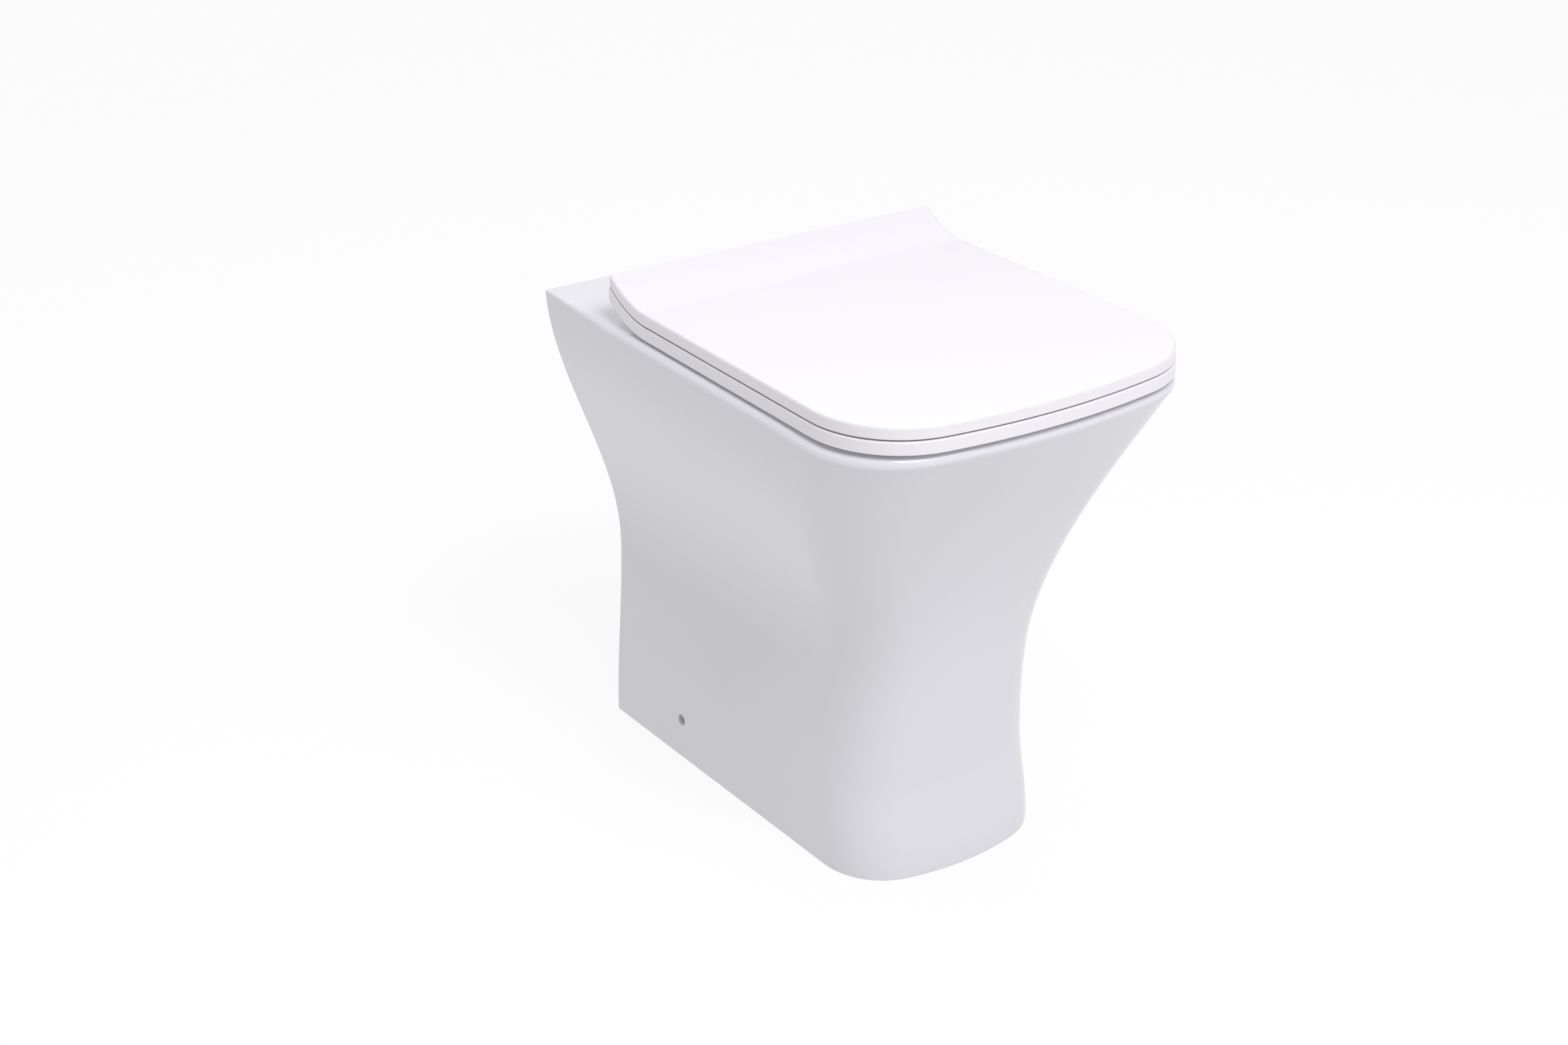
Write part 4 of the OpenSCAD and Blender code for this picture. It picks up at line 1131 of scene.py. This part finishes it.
@dataclass
class Hinges:
    """Both hinges, from the wing nuts under the deck up to the blocks with their dampers and pins."""

    stud_r: float = 4 * MM
    stud_play: float = 0.05 * MM
    thread_pitch: float = 1.25 * MM
    stud_lead: float = 1 * MM
    base_bevel: float = 1.1 * MM
    groove_depth: float = 0.35 * MM
    wing_t: float = 3 * MM
    flange_r: float = 10.5 * MM
    flange_h: float = 4 * MM
    neck_r: float = 8.5 * MM
    pocket_r: float = 6.9 * MM
    pocket_depth: float = 30 * MM
    pin_bore_r: float = 3.55 * MM
    stud_room: float = 0.5 * MM
    collar_r: float = 6.8 * MM
    bush_flange: float = 4 * MM
    washer_bore_r: float = 4.3 * MM
    gasket_bore_r: float = 4.5 * MM
    case_wall: float = 1.8 * MM
    case_floor: float = 2 * MM
    case_cap: float = 4 * MM
    vane_t: float = 2.4 * MM

    def __post_init__(self) -> None:
        """Takes the places that both hinges share from the right block's box."""
        low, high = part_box("hinge_block_right")
        self.x, self.y = (low.x + high.x) / 2, (low.y + high.y) / 2
        self.barrel_r = (high.y - low.y) / 2
        self.half = (high.x - low.x) / 2
        self.line_z, self.base_top = high.z - self.barrel_r, low.z
        self.close_r = self.stud_r + self.stud_play

    def pair(self, z: float) -> list[tuple[float, float, float]]:
        """The two stud centres at one height."""
        return [(-self.x, self.y, z), (self.x, self.y, z)]

    def rings(self) -> None:
        """Gaskets, bushes and washers: each a profile turned round both studs."""
        for name, finish, slot, node, bore, collar in (
            ("gasket_rings", RUBBER, "buffer_rubber", "hinge_gaskets", self.gasket_bore_r, 0.0),
            ("bush_pair", RUBBER, "buffer_rubber", "stud_bushes", self.close_r, self.collar_r),
            ("washer_pair", STEEL, "screw_steel", "stud_washers", self.washer_bore_r, 0.0),
        ):
            low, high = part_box(node)
            height, outer = high.z - low.z, high.x - self.x
            if collar:
                profile = [(0.0, bore), (0.0, outer), (self.bush_flange, outer), (self.bush_flange, collar)]
                profile += [(height, collar), (height, bore)]
                radii = [0.3 * MM, 1 * MM, 0.8 * MM, 0.6 * MM, 0.8 * MM, 0.3 * MM]
            else:
                profile = [(0.0, bore), (0.0, outer), (height, outer), (height, bore)]
                radii = [0.15 * MM, 0.3 * MM, 0.3 * MM, 0.15 * MM]
            dress(lathe(name, rounded(profile, radii), self.pair(low.z)), finish, "pan", (node,))

    def base(self, hand: str, x: float) -> None:
        """A chromed base plate: a flat disc with a rolled upper rim and a shallow groove round the block."""
        node = f"hinge_base_{hand}"
        low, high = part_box(node)
        outer, height = (high.x - low.x) / 2, high.z - low.z
        bore, ring_z = self.close_r, height - 0.4 * MM
        profile = [(0.0, bore), (0.0, outer), (height, outer), (height, self.flange_r + 1.6 * MM)]
        profile += [(ring_z, self.flange_r + 1.2 * MM), (ring_z, self.flange_r + 0.4 * MM)]
        profile += [(height, self.flange_r), (height, bore)]
        radii = [0, 0.3 * MM, self.base_bevel, 0.2 * MM, 0.1 * MM, 0.1 * MM, 0.1 * MM, 0]
        made = lathe(f"base_plate_{hand}", rounded(profile, radii), (x, self.y, low.z), sides=96)
        dress(made, CHROME, "pan", (node,))

    def block(self, hand: str, x: float) -> None:
        """A hinge block: a grooved barrel on a neck that spreads where it stands on the base plate.

        The neck's radius at the share t of the spread's height is its own plus what is left of the spread
        times (1 - t) squared. The pocket for the damper opens towards -X in both blocks.
        """
        start = x - self.half
        outer, grooved = self.barrel_r, self.barrel_r - self.groove_depth
        groove = [(0.0, 0.0), (0.0, outer), (3 * MM, outer), (3.3 * MM, grooved), (3.9 * MM, grooved)]
        groove.append((4.2 * MM, outer))
        mirrored = [(2 * self.half - place, r) for place, r in groove[::-1]]
        radii = [0, 1.2 * MM, 0.2 * MM, 0.1 * MM, 0.1 * MM, 0.2 * MM]
        barrel = rounded(groove + mirrored, radii + radii[::-1])
        made = lathe(f"block_{hand}", barrel, (start, self.y, self.line_z), "X", 80)
        t = np.linspace(0, 1, 9)
        spread = self.neck_r + (self.flange_r - self.neck_r) * (1 - t) ** 2
        neck = [(0.0, 0.0)] + list(zip((self.flange_h * t).tolist(), spread.tolist()))
        neck += [(self.line_z - self.base_top, self.neck_r), (self.line_z - self.base_top, 0.0)]
        combine(made, lathe("neck", neck, (x, self.y, self.base_top), sides=80), Cut.UNION)
        _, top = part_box(f"hinge_stud_{hand}")
        for profile, place, axis in (
            (bar(-1 * MM, self.pocket_depth, self.pocket_r), (start, self.y, self.line_z), "X"),
            (
                bar(self.pocket_depth - 1 * MM, 2 * self.half + 1 * MM, self.pin_bore_r),
                (start, self.y, self.line_z), "X",
            ),
            (
                bar(-1 * MM, top.z + self.stud_room - self.base_top, self.close_r),
                (x, self.y, self.base_top), "Z",
            ),
        ):
            combine(made, lathe("bore", profile, place, axis, 48), Cut.DIFFERENCE)
        dress(made, HINGE_PLASTIC, "pan", (f"hinge_block_{hand}",), sharp=32)

    def wing_nuts(self) -> None:
        """Two moulded wing nuts: a tapered hub with a collar and two wings that reach out and down."""
        low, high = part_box("wing_nuts")
        _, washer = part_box("stud_washers")
        hub_r, reach = (high.y - low.y) / 2, high.x - self.x
        nut_low = high.z - 10 * MM
        hub = [(nut_low, 0.0), (nut_low, hub_r - 1.2 * MM), (high.z - 3 * MM, hub_r - 0.4 * MM)]
        hub += [(high.z - 2.4 * MM, hub_r), (high.z, hub_r), (high.z, 0.0)]
        wing_low, wing_top = nut_low + 1 * MM, high.z - 0.6 * MM
        wing = [(6 * MM, wing_top), (6 * MM, wing_low), (reach - 4 * MM, low.z), (reach, low.z)]
        wing += [(reach, wing_low), (reach - 8 * MM, wing_top)]
        hub = rounded(hub, [0, 0.8 * MM, 0.3 * MM, 0.3 * MM, 0.5 * MM, 0])
        made = lathe("wing_nut_pair", hub, self.pair(0.0))
        radii, half_t = [0, 0, 1.8 * MM, 1.8 * MM, 2.5 * MM, 2 * MM], self.wing_t / 2
        for x in (-self.x, self.x):
            for way in (-1, 1):
                outline = rounded([(x + way * u, z) for u, z in wing], radii)
                blade = prism("wing", outline, self.y - half_t, self.y + half_t, "Y", 0.9 * MM)
                combine(made, blade, Cut.UNION)
        bore = bar(low.z - 1 * MM, washer.z, self.close_r)
        combine(made, lathe("bores", bore, self.pair(0.0), sides=48), Cut.DIFFERENCE)
        dress(made, NYLON, "pan", ("wing_nuts",), sharp=32)

    def damper(self, node_of: str, pin_of: str) -> None:
        """A soft-close damper in its barrel, with the shaft that turns one plate and the pin for the other.

        Args:
            node_of: The plate that the damper slows, which its shaft rides on.
            pin_of: The plate that turns on the pin at the barrel's other end.
        """
        low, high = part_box(f"{node_of}_damper_housing")
        place = (0.0, self.y, self.line_z)
        outer = (high.y - low.y) / 2
        inner = outer - self.case_wall
        cap, bottom = low.x + self.case_cap, high.x - self.case_floor
        case = [(high.x, 0.0), (high.x, outer), (low.x, outer), (low.x, self.pin_bore_r)]
        case += [(cap, self.pin_bore_r), (cap, inner), (bottom, inner), (bottom, 0.0)]
        radii = [0, 0.6 * MM, 0.5 * MM, 0.2 * MM, 0, 0, 0, 0]
        made = lathe(f"{node_of}_damper_case", rounded(case, radii), place, "X")
        dress(made, DARK_NYLON, "pan", (f"{node_of}_damper_housing",))
        low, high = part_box(f"{node_of}_damper_rotor")
        shaft_r, vane = (high.z - low.z) / 2, (high.y - low.y) / 2
        shaft = bar(low.x, high.x, shaft_r, 0.6 * MM, 0.4 * MM)
        made = lathe(f"{node_of}_damper_shaft", shaft, place, "X", 48)
        sides = [(self.y - vane, -self.vane_t / 2), (self.y + vane, -self.vane_t / 2)]
        sides += [(self.y + vane, self.vane_t / 2), (self.y - vane, self.vane_t / 2)]
        outline = [(y, self.line_z + z) for y, z in sides]
        combine(made, prism("vane", outline, high.x - 22 * MM, high.x - 0.2 * MM, "X", 0.3 * MM), Cut.UNION)
        dress(made, DARK_NYLON, node_of, (f"{node_of}_damper_rotor",))
        low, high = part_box(f"{pin_of}_hinge_pin")
        pin = bar(low.x, high.x, (high.z - low.z) / 2, 0.6 * MM, 0.6 * MM)
        made = lathe(f"{pin_of}_pin", pin, place, "X", 48)
        dress(made, STEEL, pin_of, (f"{pin_of}_hinge_pin",))

    def build(self) -> None:
        """Makes both hinges from the deck's gaskets to their pins."""
        self.rings()
        self.wing_nuts()
        for hand, x in (("left", -self.x), ("right", self.x)):
            self.base(hand, x)
            self.block(hand, x)
            low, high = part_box(f"hinge_stud_{hand}")
            stud = threaded(
                f"stud_{hand}", (x, self.y, low.z), high.z - low.z, self.stud_r, self.thread_pitch,
                self.stud_lead,
            )
            dress(stud, STEEL, "pan", (f"hinge_stud_{hand}",), sharp=25)
        self.damper("lid", "seat")
        self.damper("seat", "lid")


# ---- floor fixing ----------------------------------------------------------------------------


@dataclass
class Fixing:
    """One side's floor bracket with the sleeve and screw that hold the skirt to it."""

    hand: str
    side: int
    thickness: float = 6 * MM
    gusset_t: float = 4 * MM
    boss_r: float = 7 * MM
    boss_depth: float = 18 * MM
    screw_r: float = 2.5 * MM
    screw_pitch: float = 1.8 * MM
    play: float = 0.05 * MM
    floor_hole_r: float = 4 * MM
    floor_hole_in: float = 14 * MM
    recess_w: float = 1.2 * MM
    recess_l: float = 5 * MM
    recess_depth: float = 1.5 * MM

    def __post_init__(self) -> None:
        """Takes the places from the right side's boxes, because the left side mirrors it."""
        self.low, self.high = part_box("floor_bracket_right")
        sleeve_low, sleeve_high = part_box("side_sleeve_right")
        self.y, self.z = (sleeve_low.y + sleeve_high.y) / 2, (sleeve_low.z + sleeve_high.z) / 2
        self.sleeve_r, self.sleeve_end = (sleeve_high.y - sleeve_low.y) / 2, sleeve_high.x

    def across(self, points: Profile) -> Profile:
        """Points of this side: their first numbers turned to the side's sign."""
        return [(self.side * x, v) for x, v in points]

    def bracket(self) -> None:
        """An angle with a filleted corner, two gussets, a boss for the screw and a countersunk floor hole."""
        low, high, t = self.low, self.high, self.thickness
        face = high.x - t
        angle = [(low.x, 0.0), (high.x, 0.0), (high.x, high.z), (face, high.z), (face, t), (low.x, t)]
        outline = rounded(self.across(angle), [0.8 * MM, 1.2 * MM, 2.4 * MM, 2.4 * MM, 4 * MM, 2 * MM])
        made = prism(f"bracket_{self.hand}", outline, low.y, high.y, "Y", 0.8 * MM)
        inner, under = face + 1 * MM, t - 1 * MM
        web = [(low.x + 2 * MM, under), (inner, under), (inner, high.z - 2 * MM)]
        for start in (low.y + 0.3 * MM, high.y - self.gusset_t - 0.3 * MM):
            gusset = prism("gusset", self.across(web), start, start + self.gusset_t, "Y", 0.6 * MM)
            combine(made, gusset, Cut.UNION)
        place = (0.0, self.y, self.z)
        boss = self.across(bar(high.x - self.boss_depth, high.x - 1 * MM, self.boss_r, 0.8 * MM))
        combine(made, lathe("boss", boss, place, "X", 56), Cut.UNION)
        bore = self.across(bar(high.x - self.boss_depth - 1 * MM, high.x + 1 * MM, self.screw_r + self.play))
        combine(made, lathe("bore", bore, place, "X", 40), Cut.DIFFERENCE)
        hole = [(-1 * MM, 0.0), (-1 * MM, self.floor_hole_r), (t - 1.2 * MM, self.floor_hole_r)]
        hole += [(t + 0.2 * MM, self.floor_hole_r + 1.4 * MM), (t + 0.2 * MM, 0.0)]
        floor_hole = (self.side * (low.x + self.floor_hole_in), self.y, 0.0)
        combine(made, lathe("floor_hole", hole, floor_hole, "Z", 48), Cut.DIFFERENCE)
        dress(made, NYLON, "pan", (f"floor_bracket_{self.hand}",), sharp=32)

    def build(self) -> None:
        """Makes the bracket, the sleeve and the cross-headed screw."""
        self.bracket()
        place = (0.0, self.y, self.z)
        bore = self.screw_r + 0.2 * MM
        low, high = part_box("side_screw_right")
        head_r = (high.y - low.y) / 2
        well = head_r + 0.15 * MM
        sleeve = [(self.high.x, bore), (self.high.x, self.sleeve_r), (high.x, self.sleeve_r), (high.x, well)]
        sleeve += [(self.sleeve_end, well), (self.sleeve_end, bore)]
        radii = [0.1 * MM, 0.3 * MM, 0.2 * MM, 0.1 * MM, 0, 0.1 * MM]
        made = lathe(f"sleeve_{self.hand}", rounded(self.across(sleeve), radii), place, "X")
        dress(made, NYLON, "pan", (f"side_sleeve_{self.hand}",))
        start = self.sleeve_end + 0.5 * MM
        made = threaded(
            f"cross_screw_{self.hand}", (self.side * start, self.y, self.z), -self.side * (start - low.x),
            self.screw_r, self.screw_pitch, 2 * MM, "X",
        )
        neck = self.sleeve_end - 2.5 * MM
        head = [(neck, 0.0), (neck, self.screw_r), (self.sleeve_end, self.screw_r)]
        head += [(self.sleeve_end, head_r), (high.x - 1.4 * MM, head_r)]
        head += [(high.x, head_r - 1.6 * MM), (high.x, 0.0)]
        head = rounded(self.across(head), [0, 0.2 * MM, 0, 0.2 * MM, 0.8 * MM, 0.8 * MM, 0])
        combine(made, lathe("head", head, place, "X", 56), Cut.UNION)
        for across, up in ((self.recess_l, self.recess_w), (self.recess_w, self.recess_l)):
            slot = [(self.y - across / 2, self.z - up / 2), (self.y + across / 2, self.z - up / 2)]
            slot += [(self.y + across / 2, self.z + up / 2), (self.y - across / 2, self.z + up / 2)]
            ends = sorted((self.side * (high.x - self.recess_depth), self.side * (high.x + 1 * MM)))
            combine(made, prism("recess", slot, *ends, "X", 0.0), Cut.DIFFERENCE)
        dress(made, STEEL, "pan", (f"side_screw_{self.hand}",), sharp=25)


# ---- studio ----------------------------------------------------------------------------------


@dataclass(frozen=True)
class Glow:
    """A soft glow of the surroundings about one direction: the cosine to it, to a power, times a colour."""

    towards: tuple[float, float, float]
    power: float
    colour: tuple[float, float, float]


@dataclass(frozen=True)
class SoftBox:
    """A rectangular light that faces what it lights."""

    name: str
    place: tuple[float, float, float]
    aim: tuple[float, float, float]
    size: tuple[float, float]
    colour: tuple[float, float, float]


@dataclass
class Studio:
    """A plain white floor, soft lights and the camera at the photograph's view."""

    yaw: float = -34.29
    pitch: float = 25.68
    distance: float = 2.2097
    target: tuple[float, float, float] = (0.0320, 0.1773, 0.1940)
    focal_px: float = 3409.0
    photo_w_px: float = 2352.0
    sensor_mm: float = 36.0
    floor_size: float = 30.0
    floor_paint: tuple[float, float, float] = (0.12, 0.12, 0.12)
    floor_roughness: float = 0.9
    floor_shine: float = 0.1
    floor_glow: tuple[float, float, float] = (0.852, 0.852, 0.854)
    around: tuple[float, float, float] = (0.4, 0.4, 0.413)
    glows: tuple[Glow, ...] = (
        Glow((0.0, -1.0, 1.0), 3.0, (0.151, 0.133, 0.168)),
        Glow((0.0, 1.0, 1.0), 3.0, (1.082, 1.078, 1.091)),
    )
    boxes: tuple[SoftBox, ...] = (
        SoftBox("key", (-0.3, -1.6, 2.6), (0.0, 0.0, 0.3), (1.1, 1.1), (44.026, 43.347, 44.201)),
        SoftBox("keyright", (0.5, -1.9, 2.4), (0.0, 0.0, 0.3), (1.1, 1.1), (13.241, 12.332, 13.173)),
    )

    def camera(self) -> None:
        """Sets the camera back from the target along its direction of view."""
        yaw, pitch = math.radians(self.yaw), math.radians(self.pitch)
        back = Vector((math.sin(yaw) * math.cos(pitch), -math.cos(yaw) * math.cos(pitch), math.sin(pitch)))
        data = bpy.data.cameras.new("view")
        data.sensor_fit, data.sensor_width = "HORIZONTAL", self.sensor_mm
        data.lens = self.focal_px / self.photo_w_px * self.sensor_mm
        made = bpy.data.objects.new("view", data)
        made.location = Vector(self.target) + back * self.distance
        made.rotation_euler = back.to_track_quat("Z", "Y").to_euler()
        bpy.context.scene.collection.objects.link(made)
        bpy.context.scene.camera = made

    def floor(self) -> None:
        """Lays a plain white floor that reaches past the view."""
        half = self.floor_size / 2
        grid = np.array([[(-half, -half, 0), (half, -half, 0)], [(-half, half, 0), (half, half, 0)]], float)
        mesh = bpy.data.meshes.new("studio_floor")
        mesh.from_pydata(grid.reshape(-1, 3).tolist(), [], [(0, 1, 3, 2)])
        made = bpy.data.objects.new("studio_floor", mesh)
        bpy.context.scene.collection.objects.link(made)
        paint = bpy.data.materials.new("studio_white")
        paint.use_nodes = True
        shader = paint.node_tree.nodes["Principled BSDF"]
        shader.inputs["Base Color"].default_value = (*self.floor_paint, 1)
        shader.inputs["Roughness"].default_value = self.floor_roughness
        shader.inputs["Specular IOR Level"].default_value = self.floor_shine
        shader.inputs["Emission Color"].default_value = (*self.floor_glow, 1)
        shader.inputs["Emission Strength"].default_value = 1.0
        mesh.materials.append(paint)

    def light(self, box: SoftBox) -> None:
        """Hangs one rectangular light, turned to what it lights. Its colour's largest part is its power."""
        data = bpy.data.lights.new(box.name, "AREA")
        power = max(box.colour)
        data.shape, data.size, data.size_y, data.energy = "RECTANGLE", *box.size, power
        data.color = [part / power for part in box.colour]
        made = bpy.data.objects.new(box.name, data)
        made.location = box.place
        made.rotation_euler = (Vector(box.place) - Vector(box.aim)).to_track_quat("Z", "Y").to_euler()
        bpy.context.scene.collection.objects.link(made)

    def surroundings(self) -> None:
        """Lights the room: an even shade, plus each glow by how near the direction is to its own."""
        world = bpy.data.worlds.new("studio")
        world.use_nodes = True
        nodes, links = world.node_tree.nodes, world.node_tree.links
        direction = nodes.new("ShaderNodeTexCoord").outputs["Generated"]
        even = nodes.new("ShaderNodeCombineXYZ")
        for socket, value in zip(even.inputs, self.around):
            socket.default_value = value
        total = even.outputs["Vector"]
        for glow in self.glows:
            near = nodes.new("ShaderNodeVectorMath")
            near.operation = "DOT_PRODUCT"
            near.inputs[1].default_value = Vector(glow.towards).normalized()
            links.new(direction, near.inputs[0])
            kept = nodes.new("ShaderNodeMath")
            kept.operation = "MAXIMUM"
            kept.inputs[1].default_value = 0.0
            links.new(near.outputs["Value"], kept.inputs[0])
            curve = nodes.new("ShaderNodeMath")
            curve.operation = "POWER"
            curve.inputs[1].default_value = glow.power
            links.new(kept.outputs["Value"], curve.inputs[0])
            tint = nodes.new("ShaderNodeVectorMath")
            tint.operation = "SCALE"
            tint.inputs[0].default_value = glow.colour
            links.new(curve.outputs["Value"], tint.inputs["Scale"])
            both = nodes.new("ShaderNodeVectorMath")
            both.operation = "ADD"
            links.new(total, both.inputs[0])
            links.new(tint.outputs["Vector"], both.inputs[1])
            total = both.outputs["Vector"]
        links.new(total, nodes["Background"].inputs["Color"])
        bpy.context.scene.world = world

    def build(self) -> None:
        """Sets up the camera, the floor, the surroundings and the lights."""
        self.camera()
        self.floor()
        self.surroundings()
        for box in self.boxes:
            self.light(box)
        bpy.context.scene.view_settings.view_transform = "Standard"


def main() -> None:
    """Builds the studio and the object's sub-assemblies in order."""
    logging.basicConfig(level=logging.INFO, format="%(name)s: %(message)s")
    Studio().build()
    Pan().build()
    Seat().build()
    Lid().build()
    SEAT_BUFFERS.build()
    LID_BUFFERS.build()
    Hinges().build()
    Fixing("left", -1).build()
    Fixing("right", 1).build()


if __name__ == "__main__":
    main()
